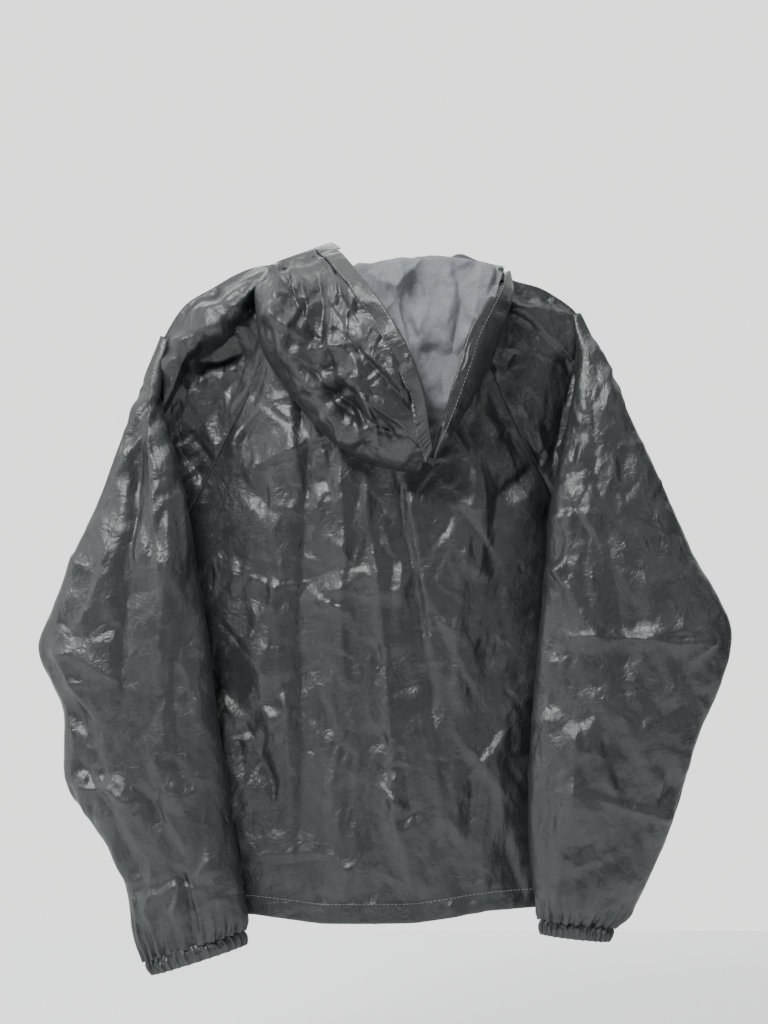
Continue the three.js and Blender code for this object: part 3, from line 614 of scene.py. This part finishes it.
def shoulder_place(side, away):
    s = SHOULDERS[side]

    def place(u, v):
        t = np.minimum(u * (1 + TOP_FAN), 1)
        fan = np.maximum(u * (1 + TOP_FAN) - 1, 0) / TOP_FAN
        line = path(s["top"], t)
        start = 4 if away > 0 else -6
        z = start + t * (-ARMPIT_DROP - start)
        x = half_width(z)
        y = back_y(x, z) if away > 0 else front_y(x, z)
        low = np.stack([x, y, z], -1)
        high = line + away * np.array([0, 0.4, 0])
        share = v[..., None]
        p = high * (1 - share) + low * share
        p[..., 1] += away * 10 * np.sin(np.pi * v) ** 1.4 * np.sin(np.pi * (0.1 + 0.8 * t))
        roll = step(v / 0.2) * step((s["roll_end"] - v) / 0.07)
        p[..., 1] += away * s["roll"] * roll * np.sin(np.pi * (0.08 + 0.84 * t)) ** 0.7
        hollow = step((v - s["roll_end"] + 0.04) / 0.12) * step((1 - v) / 0.3)
        p[..., 1] -= max(away, 0) * s["hollow"] * hollow * np.sin(np.pi * t)
        z = p[..., 2]
        below_tip = np.clip((s["top"][-1][2] - 6 - z) / FAN_BELOW_TIP, 0, 1)
        p[..., 0] += fan * FAN_REACH * below_tip * step((z + ARMPIT_DROP - 4) / FAN_TAPER)
        p[..., 1] += fan * 0.6 * below_tip * step((z + ARMPIT_DROP) / 12) * (FAN_REACH - p[..., 1])
        p[..., 1] -= away * 3 * fan * np.sin(np.pi * v)
        p[..., 0] *= s["sign"]
        return p

    return place


def shoulder_relief(side, seed):
    def relief(u, v, p):
        x, z = np.abs(p[..., 0]), p[..., 2]
        total = crumple(x, z, seed, 32, 2.4, 3, 1.2) + creases(x, z, seed + 1, 46, 3.4, 11, (25, 80), 0.7)
        total += creases(x, z, seed + 2, 90, 1.5, 5, (12, 45), 0.8)
        total += folded(x, z, SHOULDERS[side]["folds"])
        edge = step(v / 0.05) * step((1 - v) / 0.06) * step((1 - u) / TOP_FAN)
        return total * edge

    return relief


def sleeve_top(side):
    sign = SHOULDERS[side]["sign"]
    out = []
    for face, away in (("back", 1), ("front", -1)):
        seed = 21 + 4 * sign + away
        piece = Cloth(f"sleeve_{side}_top_{face}", shoulder_place(side, away), 300, 200,
                      shoulder_relief(side, seed), out=(0, away, 0))
        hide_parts(f"sleeve_{side}_shoulder_{face}")
        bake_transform(piece.obj)
        out.append(piece)
    return out


tops = {side: sleeve_top(side) for side in SHOULDERS}


# ---- arms ----
ARMS = {
    "left": dict(
        sign=1,
        # inner x and z, outer x and z, middle y, half depth
        rows=[
            (206, -52, 217, -49, 3, 5),
            (215, -104, 236, -106, 17, 10),
            (207, -142, 255, -156, 28, 14),
            (194, -190, 275, -212, 34, 20),
            (184, -240, 300, -268, 38, 25),
            (175, -292, 319, -318, 41, 28),
            (167, -345, 335, -360, 42, 29),
            (160, -398, 323, -396, 43, 29),
            (155, -440, 310, -428, 44, 29),
            (148, -484, 308, -490, 46, 29),
            (142, -530, 294, -518, 48, 27),
            (135, -572, 266, -556, 51, 25),
            (129, -604, 247, -596, 54, 22),
            (126, -628, 238, -644, 55, 19),
            (129, -640, 228, -672, 56, 16),
        ],
        folds=[
            ([(232, -120), (236, -220), (246, -330), (250, -430)], -9.0, 14, 16),
            ([(205, -170), (206, -260), (212, -380), (205, -500)], 5.0, 14, 20),
            ([(330, -362), (290, -372), (240, -400)], 5.0, 8, 12),
            ([(318, -330), (286, -350), (262, -330)], -3.5, 8, 8),
            ([(300, -500), (262, -500), (236, -520)], 6.0, 9, 9),
            ([(296, -470), (280, -492), (258, -520), (250, -560)], -5.0, 8, 8),
            ([(180, -300), (200, -400), (186, -520)], -4.0, 12, 12),
            ([(262, -250), (280, -320), (300, -350)], 3.5, 8, 12),
            ([(160, -560), (180, -600), (200, -630)], 4.0, 8, 8),
            ([(222, -80), (226, -160), (216, -260), (206, -340)], 7.0, 6, 18),
            ([(320, -360), (300, -400), (270, -440)], 6.0, 5, 14),
            ([(306, -420), (282, -450), (262, -500)], -5.0, 5, 12),
            ([(190, -590), (198, -620), (190, -645)], 5.0, 4, 9),
            ([(220, -580), (226, -620), (214, -655)], 5.0, 4, 9),
            ([(150, -600), (156, -625), (160, -640)], 4.0, 4, 8),
        ],
    ),
    "right": dict(
        sign=-1,
        rows=[
            (198, -27, 208, -26, 3, 5),
            (203, -74, 228, -70, 17, 10),
            (196, -118, 246, -112, 28, 14),
            (186, -166, 270, -164, 34, 20),
            (176, -214, 293, -214, 38, 25),
            (171, -264, 316, -266, 41, 28),
            (166, -315, 340, -310, 42, 29),
            (162, -360, 355, -350, 43, 29),
            (158, -405, 342, -404, 44, 29),
            (154, -460, 318, -458, 46, 29),
            (152, -505, 303, -508, 48, 27),
            (152, -548, 290, -550, 48, 25),
            (155, -588, 268, -600, 46, 22),
            (160, -616, 252, -628, 43, 19),
            (164, -632, 238, -640, 41, 16),
        ],
        folds=[
            ([(216, -90), (220, -200), (240, -320), (246, -420)], -6.0, 14, 18),
            ([(174, -270), (200, -310), (226, -356)], 5.0, 6, 12),
            ([(238, -330), (262, -390), (288, -440)], -4.5, 8, 12),
            ([(350, -348), (300, -344), (250, -352), (190, -360)], 5.5, 8, 14),
            ([(256, -300), (310, -290), (346, -330)], 3.0, 8, 8),
            ([(200, -420), (196, -500), (184, -580)], 4.0, 14, 12),
            ([(280, -460), (262, -520), (240, -590)], -4.0, 12, 12),
            ([(300, -400), (268, -440), (240, -490)], 3.5, 8, 10),
            ([(172, -270), (200, -320), (225, -360)], 6.0, 5, 14),
            ([(344, -352), (312, -372), (288, -420)], 6.0, 5, 14),
            ([(180, -350), (230, -348), (300, -356), (346, -350)], 6.0, 5, 12),
            ([(188, -560), (180, -600), (184, -628)], 5.0, 4, 9),
            ([(226, -560), (218, -600), (208, -630)], 5.0, 4, 9),
            ([(262, -480), (250, -530), (236, -570)], -5.0, 5, 12),
        ],
    ),
}


def arm_place(side):
    rows = np.array(ARMS[side]["rows"], float)
    sign = ARMS[side]["sign"]

    def place(u, v):
        ix, iz, ox, oz, y, depth = (through(rows[:, k], v) for k in range(6))
        turn = 2 * np.pi * u
        share = (1 - np.cos(turn)) / 2
        lift = np.sign(np.sin(turn)) * np.abs(np.sin(turn)) ** 0.85
        lean = 1 + 0.25 * np.cos(turn)
        x = ix + (ox - ix) * share
        z = iz + (oz - iz) * share
        return np.stack([sign * x, y + depth * lift * lean, z], -1)

    return place


def arm_relief(side, seed):
    sign = ARMS[side]["sign"]

    def relief(u, v, p):
        x, z = sign * p[..., 0], p[..., 2]
        flat = np.where(u < 0.5, x, 700 - x)
        total = crumple(flat, z, seed, 48, 3.0, 3, 1.7)
        total += creases(flat, z, seed + 1, 230, 3.8, 16, (35, 120), 0.4)
        total += creases(flat, z, seed + 2, 420, 1.5, 6.5, (14, 60), 0.7)
        back_side = step(np.sin(2 * np.pi * u) / 0.3)
        for points, height, left, right in ARMS[side]["folds"]:
            total += back_side * fold(x, z, points, height, left, right)
            total = total - 0.7 * (1 - back_side) * fold(x, z + 20, points, height, right, left)
        seam = np.minimum(1, np.abs(np.sin(2 * np.pi * u)) / 0.45 + 0.2)
        edges = step(v / 0.06)
        gather = step((v - 0.86) / 0.14)
        ruffle = 2.6 * np.sin(46 * np.pi * u + 3 * soft(u * 9, v * 6, seed + 3))
        ruffle += 1.2 * np.sin(112 * np.pi * u)
        keep = 1 - 0.55 * gather
        return total * seam * edges * keep + gather * ruffle * 0.8

    return relief


def cuff(side):
    """The cuff's folded casing, ruffled by the elastic inside it."""
    rows = ARMS[side]["rows"]
    ix, iz, ox, oz, y, depth = rows[-1]
    sign = ARMS[side]["sign"]
    inner, outer = np.array([sign * ix, y, iz]), np.array([sign * ox, y, oz])
    across = outer - inner
    half = np.linalg.norm(across) / 2
    across = across / (2 * half)
    down = np.array([-across[2], 0, across[0]]) * (-1 if sign > 0 else 1)
    if down[2] > 0:
        down = -down
    middle = (inner + outer) / 2
    height, bulge = 15.0, 2.2

    def place(u, v):
        turn = 2 * np.pi * u
        around = np.pi * v
        reach = bulge * np.sin(around) - 1.2
        fall = -2 + (height + 2) * v
        a = (half - 2 + reach) * -np.cos(turn)
        b = (depth - 1 + reach) * np.sin(turn)
        return middle + a[..., None] * across + b[..., None] * np.array([0, 1, 0]) + fall[..., None] * down

    def relief(u, v, p):
        ruffle = np.sin(58 * np.pi * u + 2.2 * soft(u * 11, v * 1.5, 7)) + 0.5 * np.sin(134 * np.pi * u + 1)
        return 1.35 * ruffle * (0.55 + 0.45 * np.sin(np.pi * v)) + 0.4 * soft(u * 60, v * 3, 9)

    band = Cloth(f"cuff_{side}_cloth", place, 210, 19, relief, wrap=True, pitch=0.8, inside=SHELL)
    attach(band.obj, f"arm_{side}")
    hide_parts(f"cuff_{side}_casing")

    def lining_place(u, v):
        p = place(u, 1 - v)
        core = middle + ((p - middle) @ down)[..., None] * down
        return core + (p - core) * 0.965

    mouth = Cloth(f"cuff_{side}_facing", lining_place, 210, 16, None, wrap=True, pitch=1.6, inside=ELASTIC)
    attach(mouth.obj, f"arm_{side}")
    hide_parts(f"cuff_{side}_elastic")
    return band, mouth


def arm(side):
    seed = 41 if side == "left" else 45
    piece = Cloth(f"sleeve_{side}_arm", arm_place(side), 440, 600, arm_relief(side, seed), wrap=True)
    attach(piece.obj, f"arm_{side}")
    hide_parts(f"sleeve_{side}_back", f"sleeve_{side}_front")
    return (piece, *cuff(side))


arms = {side: arm(side) for side in ARMS}


# ---- fronts ----
FRONT_TOP = -8.0
NECKLINE = ([-88, -60, -30, FRONT_TOP], [FRONT_EDGE, 34, 58, NECK_HALF - 1])  # heights, and how far out
FRONT_TURNS = 0.86  # past this share of its width, the front turns back to meet the side seam
FRONT_FOLDS = [
    ([(60, -90), (70, -250), (84, -420), (90, -600)], 5.0, 16, 24),
    ([(120, -120), (128, -260), (130, -420), (126, -600)], -5.0, 18, 14),
    ([(170, -290), (160, -420), (170, -590)], 4.0, 16, 16),
    ([(150, -180), (110, -240), (70, -300)], 3.0, 8, 14),
]


def front(side):
    sign = 1 if side == "left" else -1

    def place(u, v):
        z = FRONT_TOP - v * (HEM_DROP + FRONT_TOP)
        neck = np.interp(z, *NECKLINE)
        x = neck + u * (half_width(z) - neck)
        y = front_y(x, z)
        seam = step((u - FRONT_TURNS) / (1 - FRONT_TURNS)) * step((2 - ARMPIT_DROP - z) / 8)
        y = y + seam * (back_y(half_width(z), z) - y)
        return np.stack([sign * x, y, z], -1)

    def relief(u, v, p):
        x, z = np.abs(p[..., 0]), p[..., 2]
        seed = 61 + 3 * sign
        total = crumple(x, z, seed, 50, 3.0, 3, 1.7) + creases(x, z, seed + 1, 70, 3.0, 16)
        total += creases(x, z, seed + 2, 160, 1.3, 6.5, (14, 60), 0.6)
        total += folded(x, z, FRONT_FOLDS)
        edge = np.clip((x - FRONT_EDGE - 4) / 26, 0, 1) * np.clip((1 - u) / 0.04, 0, 1)
        return total * edge

    piece = Cloth(f"front_{side}_cloth", place, 205, 610, relief, out=(0, -1, 0))
    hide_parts(f"front_{side}_panel", f"front_{side}_edge")
    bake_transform(piece.obj)
    return piece


fronts = {side: front(side) for side in ("left", "right")}


# ---- hood ----
# The hood's outer bag, from its far edge on the wearer's left to the face edge, down the back.
HOOD_FAR = [(104, 30, 20), (119, 40, -2), (118, 48, -34), (112, 52, -66), (96, 55, -94), (77, 56, -120),
            (57, 57, -144), (34, 57, -164), (10, 58, -176), (-18, 60, -186), (-44, 63, -188)]
HOOD_EDGE = [(46, 8, 44), (30, 46, 26), (12, 74, 2), (-4, 90, -20), (-18, 99, -42), (-30, 105, -64),
             (-40, 108, -86), (-47, 108, -108), (-51, 105, -130), (-54, 99, -150), (-57, 90, -166)]
# How far the bag swells off the back, down its length.
HOOD_RISE = [14, 24, 30, 34, 35, 35, 33, 30, 25, 17, 6]

HOOD_FOLDS = [
    ([(70, -82), (40, -112), (10, -138), (-24, -156)], -9.0, 5, 16),
    ([(40, -86), (24, -104), (-6, -126), (-36, -150)], 7.0, 5, 12),
    ([(74, 6), (66, -26), (70, -56)], 7.0, 5, 12),
    ([(100, -24), (86, -48), (62, -62)], 6.0, 5, 10),
    ([(40, 20), (34, -14), (16, -46)], -5.0, 10, 5),
    ([(34, -50), (10, -76), (-20, -110), (-44, -140)], -6.0, 6, 8),
    ([(100, 10), (96, -30), (84, -70), (60, -110), (30, -140)], 7.0, 12, 16),
    ([(84, 12), (78, -18), (64, -46), (58, -70)], -8.0, 8, 10),
    ([(58, 14), (52, -20), (54, -60), (40, -84)], -7.0, 10, 8),
    ([(62, -66), (36, -66), (8, -58), (0, -40)], 6.0, 10, 8),
    ([(16, -66), (-10, -88), (-34, -114)], 8.0, 7, 12),
    ([(74, -80), (60, -92), (36, -84)], -7.0, 8, 8),
    ([(60, -100), (30, -130), (0, -150), (-30, -160)], -7.0, 9, 9),
    ([(30, -96), (4, -118), (-24, -140)], 5.0, 10, 10),
    ([(24, -30), (4, -30), (-16, -52)], -5.0, 8, 8),
    ([(90, -40), (70, -58), (56, -64)], 4.0, 6, 9),
]


def hood_left_place(u, v):
    far = path(HOOD_FAR, v)
    edge = path(HOOD_EDGE, v)
    rise = through(HOOD_RISE, v)
    across = u ** 0.9
    p = far + (edge - far) * across[..., None]
    round_edge = np.sqrt(np.clip(1 - (1 - np.clip(u / 0.22, 0, 1)) ** 2, 0, 1))
    p[..., 1] += rise * round_edge * (1 - 0.55 * u)
    return p


def hood_relief(u, v, p):
    x, z = p[..., 0], p[..., 2]
    total = crumple(x, z, 81, 30, 2.6, 3, 1.1) + creases(x, z, 82, 70, 5.0, 10, (25, 90), 0.9)
    total += creases(x, z, 83, 150, 1.6, 4.5, (12, 45), 1.0)
    total += folded(x, z, HOOD_FOLDS)
    edge = np.clip((1 - u) / 0.16, 0, 1) ** 0.7 * np.clip(u / 0.08, 0, 1) * step((v + 0.01) / 0.07)
    return total * edge


def turns_up(obj):
    """Bakes a hood piece's placement into its mesh; the piece is attached to no body."""
    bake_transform(obj)


hood_left = Cloth("hood_bag_cloth", hood_left_place, 200, 250, hood_relief, pitch=1.8)

# The narrow side of the hood on the wearer's right, seen edge on.
RIGHT_OUTER = [(-136, 22, 15), (-138, 44, -8), (-131, 56, -34), (-122, 64, -62), (-110, 72, -90),
               (-96, 80, -118), (-80, 86, -144), (-66, 86, -166), (-56, 80, -184)]
RIGHT_INNER = [(-124, 28, 12), (-116, 62, -8), (-104, 82, -30), (-92, 92, -52), (-84, 98, -78),
               (-76, 102, -102), (-69, 102, -126), (-64, 98, -146), (-60, 92, -162)]


def hood_right_place(u, v):
    a = path(RIGHT_OUTER, v)
    b = path(RIGHT_INNER, v)
    p = a + (b - a) * u[..., None]
    p[..., 1] += 9 * np.sin(np.pi * u) * np.sin(np.pi * (0.08 + 0.84 * v))
    return p


def hood_right_relief(u, v, p):
    x, z = p[..., 0], p[..., 2]
    total = crumple(x, z, 91, 22, 1.6, 3, 1.5) + creases(x, z, 92, 24, 2.4, 7, (20, 70), 0.4)
    return total * np.clip(np.minimum(u, 1 - u) / 0.15, 0, 1)


hood_right = Cloth("hood_side_cloth", hood_right_place, 44, 215, hood_right_relief, pitch=1.6)

# The nape layer: up from the neck seam, over, and down inside the bag with its lining outwards.
NAPE_TOP = [(104, 6), (70, 10), (30, 16), (0, 19), (-30, 23), (-56, 26), (-84, 24), (-108, 20), (-128, 12)]


NAPE_RISES = 0.12  # the share of its length that goes up from the neck seam
NAPE_SEAM = (49.0, 2.0)  # the neck seam's y and z


def nape_place(u, v):
    line = path(NAPE_TOP, u)
    x, top = line[..., 0], line[..., 1]
    up = np.clip(v / NAPE_RISES, 0, 1)
    down = np.clip((v - NAPE_RISES) / (1 - NAPE_RISES), 0, 1)
    bottom = -60 - 95 * np.sin(np.pi * np.clip(0.05 + 0.9 * u, 0, 1))
    seam_y, seam_z = NAPE_SEAM
    rising = seam_z + (top - seam_z) * np.sin(up * np.pi / 2)
    falling = top + (bottom - top) * down ** 1.1
    z = np.where(v < NAPE_RISES, rising, falling)
    y = seam_y + 8 * up + 20 * down ** 0.6 + 3 * np.sin(3 * np.pi * u)
    x = x * (1 - 0.35 * down) - 18 * down
    return np.stack([x, y, z], -1)


NAPE_FOLDS = [
    ([(-50, 26), (-20, -8), (-28, -48), (-46, -120)], 9.0, 16, 3),
    ([(-78, 26), (-84, -20), (-76, -70), (-66, -120)], -8.0, 5, 10),
    ([(-20, 24), (-34, -20), (-50, -70)], 6.0, 5, 14),
    ([(4, 22), (-20, -20), (-44, -60)], -6.0, 8, 5),
    ([(-104, 22), (-100, -20), (-84, -80)], 6.0, 5, 9),
    ([(20, 20), (-4, 0), (-30, -10)], 5.0, 5, 8),
]


def nape_relief(u, v, p):
    x, z = p[..., 0], p[..., 2]
    total = crumple(x, z, 101, 34, 3.4, 3, 1.1) + creases(x, z, 102, 60, 7.0, 13, (30, 100), 0.6)
    total += creases(x, z, 103, 80, 1.6, 5, (12, 50), 0.9)
    total += folded(x, z, NAPE_FOLDS, 0.08)
    return np.maximum(total, -5) * np.clip((v - 0.04) / 0.16, 0.15, 1)


hood_nape = Cloth("hood_nape_cloth", nape_place, 250, 190, nape_relief, outside=LINING, inside=SHELL,
                  pitch=2.0)

hood_pieces = [(hood_left, ["hood_left_panel"]), (hood_right, ["hood_right_panel"]), (hood_nape, [])]
for cloth, nodes in hood_pieces:
    if nodes:
        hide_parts(*nodes)
    turns_up(cloth.obj)


def casing(name, line_of, width, count, seed):
    """A turned casing along the hood's face edge: a flattened roll of cloth with a stitched inner edge."""
    t = np.linspace(0.008, 1, count)
    edge, inward = line_of(t)
    inward = inward / np.linalg.norm(inward, axis=1, keepdims=True)
    ahead = np.gradient(edge, axis=0)
    ahead /= np.linalg.norm(ahead, axis=1, keepdims=True)
    out = np.cross(ahead, inward)
    out *= np.sign(out[:, 1:2] + 1e-9)
    turn = np.linspace(0, 2 * np.pi, 22, endpoint=False)
    gather = 0.15 + 1.1 * step((t - 0.6) / 0.35)
    wave = (gather * (0.7 * np.sin(t * 260 + seed) + 0.5 * soft(t * 70, t * 0, seed)))[:, None]
    a = (width / 2) * (1 - np.cos(turn))[None, :]
    lift = np.abs(np.sin(turn)) ** 0.6 * np.sign(np.sin(turn))
    b = 1.7 * lift[None, :] * (1 + 0.3 * wave) + 0.5 + 0.5 * wave
    ends = np.clip(np.minimum(t, 1 - t) / 0.03, 0.15, 1)[:, None]
    p = edge[:, None] + a[..., None] * inward[:, None] + (b * ends)[..., None] * out[:, None]
    obj = mesh_object(name, p, grid_faces(count, len(turn), wrap=True), [SHELL])
    row = edge + inward * (width - 1.6) + out * (1.9 + 0.5 * wave)
    seam = stitches(f"{name}_stitching", row, out, THREAD)
    for piece in (obj, seam):
        turns_up(piece)
    return obj, seam


def left_line(t):
    edge, _ = hood_left.at(np.ones_like(t), t)
    inner, _ = hood_left.at(np.full_like(t, 0.9), t)
    return edge, inner - edge


def right_line(t):
    edge, _ = hood_right.at(np.ones_like(t), t)
    inner, _ = hood_right.at(np.full_like(t, 0.5), t)
    return edge, inner - edge


left_casing, left_seam = casing("hood_casing_left", left_line, 18.0, 150, 3)
right_casing, right_seam = casing("hood_casing_right", right_line, 12.0, 130, 8)
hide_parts("hood_face_casing")


def elastic_end():
    """The elastic's end where it leaves the casing, by the wearer's right shoulder."""
    edge, _ = hood_right.at(np.full(6, 0.85), np.linspace(0.0, 0.06, 6))
    line = edge + np.array([[0, 1, 1]]) * np.linspace(4, 0, 6)[:, None]
    verts, faces = tube_along(line, 3.4, 12, 0.45)
    obj = mesh_object("hood_elastic_end", verts, faces, [ELASTIC])
    turns_up(obj)
    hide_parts("hood_face_elastic")


elastic_end()

# ---- collar ----
COLLARS = {
    "left": dict(
        base=[(22, -59, -86), (60, -50, -52), (94, -21, -4), (106, 2, 16), (96, 34, 16)],
        rim=[(20, -61, -78), (40, -58, -20), (46, -32, 30), (46, 4, 45), (34, 40, 36)],
    ),
    "right": dict(
        base=[(-22, -59, -86), (-60, -50, -52), (-94, -21, -4), (-116, 2, 12), (-108, 34, 12)],
        rim=[(-20, -61, -78), (-46, -58, -20), (-78, -31, 34), (-106, -4, 27), (-130, 28, 18)],
    ),
}


def collar(side):
    rows = COLLARS[side]

    def place(u, v):
        low, high = path(rows["base"], u), path(rows["rim"], u)
        p = low + (high - low) * v[..., None]
        p[..., 1] -= 5 * np.sin(np.pi * v) * np.sin(np.pi * u)
        return p

    def relief(u, v, p):
        return crumple(p[..., 0] * 1.2, p[..., 2], 111, 24, 2.4, 4, 1.2) * np.clip((1 - v) / 0.2, 0.15, 1)

    piece = Cloth(f"collar_{side}_cloth", place, 150, 80, relief, out=(0, -1, 0), pitch=2.0)
    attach(piece.obj, "torso")
    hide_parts(f"collar_{side}")
    return piece


collars = {side: collar(side) for side in COLLARS}


# ---- zip, storm flap and studs ----
def box_part(low, high):
    x0, y0, z0 = low
    x1, y1, z1 = high
    verts = [(x, y, z) for z in (z0, z1) for x, y in ((x0, y0), (x1, y0), (x1, y1), (x0, y1))]
    faces = [(0, 3, 2, 1), (4, 5, 6, 7), (0, 1, 5, 4), (1, 2, 6, 5), (2, 3, 7, 6), (3, 0, 4, 7)]
    return verts, faces


def bevelled(obj, width, segments=2):
    modifier = obj.modifiers.new("bevel", "BEVEL")
    modifier.width = width * MM
    modifier.segments = segments
    modifier.limit_method = "ANGLE"
    return obj


TOOTH_PITCH = 2.54


def zip_chain(side):
    """Moulded teeth on a cord, with one stem and one head each."""
    sign = 1 if side == "left" else -1
    low, high = (np.array(c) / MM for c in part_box(f"zip_chain_{side}"))
    y = (low[1] + high[1]) / 2
    shift = 0 if side == "left" else TOOTH_PITCH / 2
    parts = []
    for z in np.arange(low[2] + 1.0 + shift, high[2] - 0.8, TOOTH_PITCH):
        inner, outer = CHAIN_INNER, CHAIN_INNER + CHAIN_WIDTH
        for x0, x1, tall, deep in ((inner, inner + 1.7, 0.95, 1.9), (inner + 1.5, outer, 0.6, 1.7)):
            a, b = sorted((sign * x0, sign * x1))
            parts.append(box_part((a, y - deep, z - tall), (b, y + deep, z + tall)))
    teeth = several(f"zip_teeth_{side}", parts, [TEETH], smooth=False)
    bevelled(teeth, 0.25, 1)
    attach(teeth, f"front_{side}")
    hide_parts(f"zip_chain_{side}")


FLAP_TOP = -98.0
FLAP_LENGTH = 492.0
FLAP_SECTION = [(36, -59.3), (31, -59.6), (27, -66), (22, -70.2), (10, -70.6), (-3, -70.4)]


def storm_flap():
    def place(u, v):
        across = path(FLAP_SECTION, u)
        z = FLAP_TOP - v * FLAP_LENGTH
        return np.stack([across[..., 0], across[..., 1], z], -1)

    def relief(u, v, p):
        x, z = p[..., 0], p[..., 2]
        return (crumple(x, z, 121, 30, 1.0, 3, 1.8) + 1.2 * soft(x / 40, z / 90, 123)) * step(u / 0.3)

    flap = Cloth("storm_flap_cloth", place, 48, FLAP_LENGTH, relief, out=(0, -1, 0))
    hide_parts("storm_flap")
    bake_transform(flap.obj)
    v = np.linspace(0.004, 0.996, 300)
    row, side = flap.at(np.full_like(v, 0.94), v, 0.1)
    seam = stitches("storm_flap_stitching", row, side, THREAD_DARK)
    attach(seam, "flap")
    return flap, seam


for side in ("left", "right"):
    zip_chain(side)
flap, flap_seam = storm_flap()


def paint(material, *names):
    """Give CAD nodes that keep their shape a finished material."""
    for name in names:
        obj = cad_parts[name]
        obj.data.materials.clear()
        obj.data.materials.append(material)


paint(TAPE, "zip_tape_left", "zip_tape_right", "hang_loop")
paint(METAL, "zip_top_stop_left", "zip_top_stop_right", "zip_retainer_box", "zip_insertion_pin",
      "zip_slider")
paint(PULL, "zip_pull")
paint(LINING, "neck_tape")
paint(LABEL, "care_label")
paint(STUD, *[f"snap_{kind}_{k + 1}" for kind in ("cap", "stud") for k in range(5)])


# ---- stitching ----
def hem_stitches():
    v = np.full(420, 1 - HEM_TURN / (HEM_DROP + 4))
    row, side = back.at(np.linspace(0.01, 0.99, 420), v, 0.1)
    line = stitches("hem_stitching_back", row, side, THREAD)
    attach(line, "torso")
    return line


hem_line = hem_stitches()


# ---- stage, light and camera ----
BRIGHT_SIDE = (0.42, -0.78, 0.46)  # the sky is palest this way
SKY = [(0.15, (0.085, 0.09, 0.096)), (0.5, (0.14, 0.147, 0.154)), (0.72, (1.0, 1.0, 0.99))]
SKY_STRENGTH = 1.9
FLOOR_Z = -860
FLOOR_X = 1600
FLOOR_Y = (-1300, 1900)
VIEW_HEIGHT = 1.024  # metres of the jacket's plane that fill the picture's height
CAMERA_DISTANCE = 2.6


def stage():
    near, far = FLOOR_Y
    outline = [(-FLOOR_X, near), (FLOOR_X, near), (FLOOR_X, far), (-FLOOR_X, far)]
    verts = [(x, y, FLOOR_Z) for x, y in outline]
    pale = shader("pale_floor", (0.80, 0.81, 0.81), 0.9, specular=0.1)[0]
    floor = mesh_object("floor", verts, [(0, 1, 2, 3)], [pale], smooth=False)
    world = bpy.data.worlds.new("studio")
    bpy.context.scene.world = world
    world.use_nodes = True
    graph = Graph(world.node_tree)
    toward = graph.add("VectorMath")
    toward.operation = "DOT_PRODUCT"
    toward.inputs[1].default_value = BRIGHT_SIDE
    graph.link(graph.add("TexCoord").outputs["Generated"], toward, 0)
    tone = graph.ramp(graph.spread(toward.outputs["Value"], -1, 1, 0, 1), SKY)
    background = graph.nodes["Background"]
    graph.link(tone, background, "Color")
    background.inputs["Strength"].default_value = SKY_STRENGTH


def area_light(name, place, aim, size, power, color=(1, 1, 1)):
    data = bpy.data.lights.new(name, "AREA")
    data.shape = "RECTANGLE"
    data.size, data.size_y = size
    data.energy = power
    data.color = color
    lamp = bpy.data.objects.new(name, data)
    lamp.location = place
    away = np.array(place) - np.array(aim)
    lamp.rotation_euler = Vector(away).to_track_quat("Z", "Y").to_euler()
    bpy.context.scene.collection.objects.link(lamp)


def camera():
    data = bpy.data.cameras.new("camera")
    data.sensor_width = 36
    data.lens = data.sensor_width * CAMERA_DISTANCE / VIEW_HEIGHT
    view = bpy.data.objects.new("camera", data)
    view.location = (-0.009, CAMERA_DISTANCE + 0.03, -0.227)
    view.rotation_euler = (math.pi / 2, 0, math.pi)
    bpy.context.scene.collection.objects.link(view)
    bpy.context.scene.camera = view


stage()
area_light("key", (0.8, 1.5, 1.25), (0, 0.05, -0.25), (0.7, 0.35), 70)
area_light("overhead", (-0.1, 0.5, 1.6), (0, 0.05, -0.3), (1.5, 0.6), 14)
area_light("side", (1.9, 0.7, -0.1), (0, 0.05, -0.3), (0.35, 1.2), 9, (0.96, 0.98, 1.0))
area_light("other_side", (-1.7, 1.2, 0.4), (0, 0.05, -0.4), (0.4, 1.0), 6)
area_light("front_fill", (0.4, -2.2, 0.9), (0, 0, -0.3), (1.4, 1.4), 34)
camera()
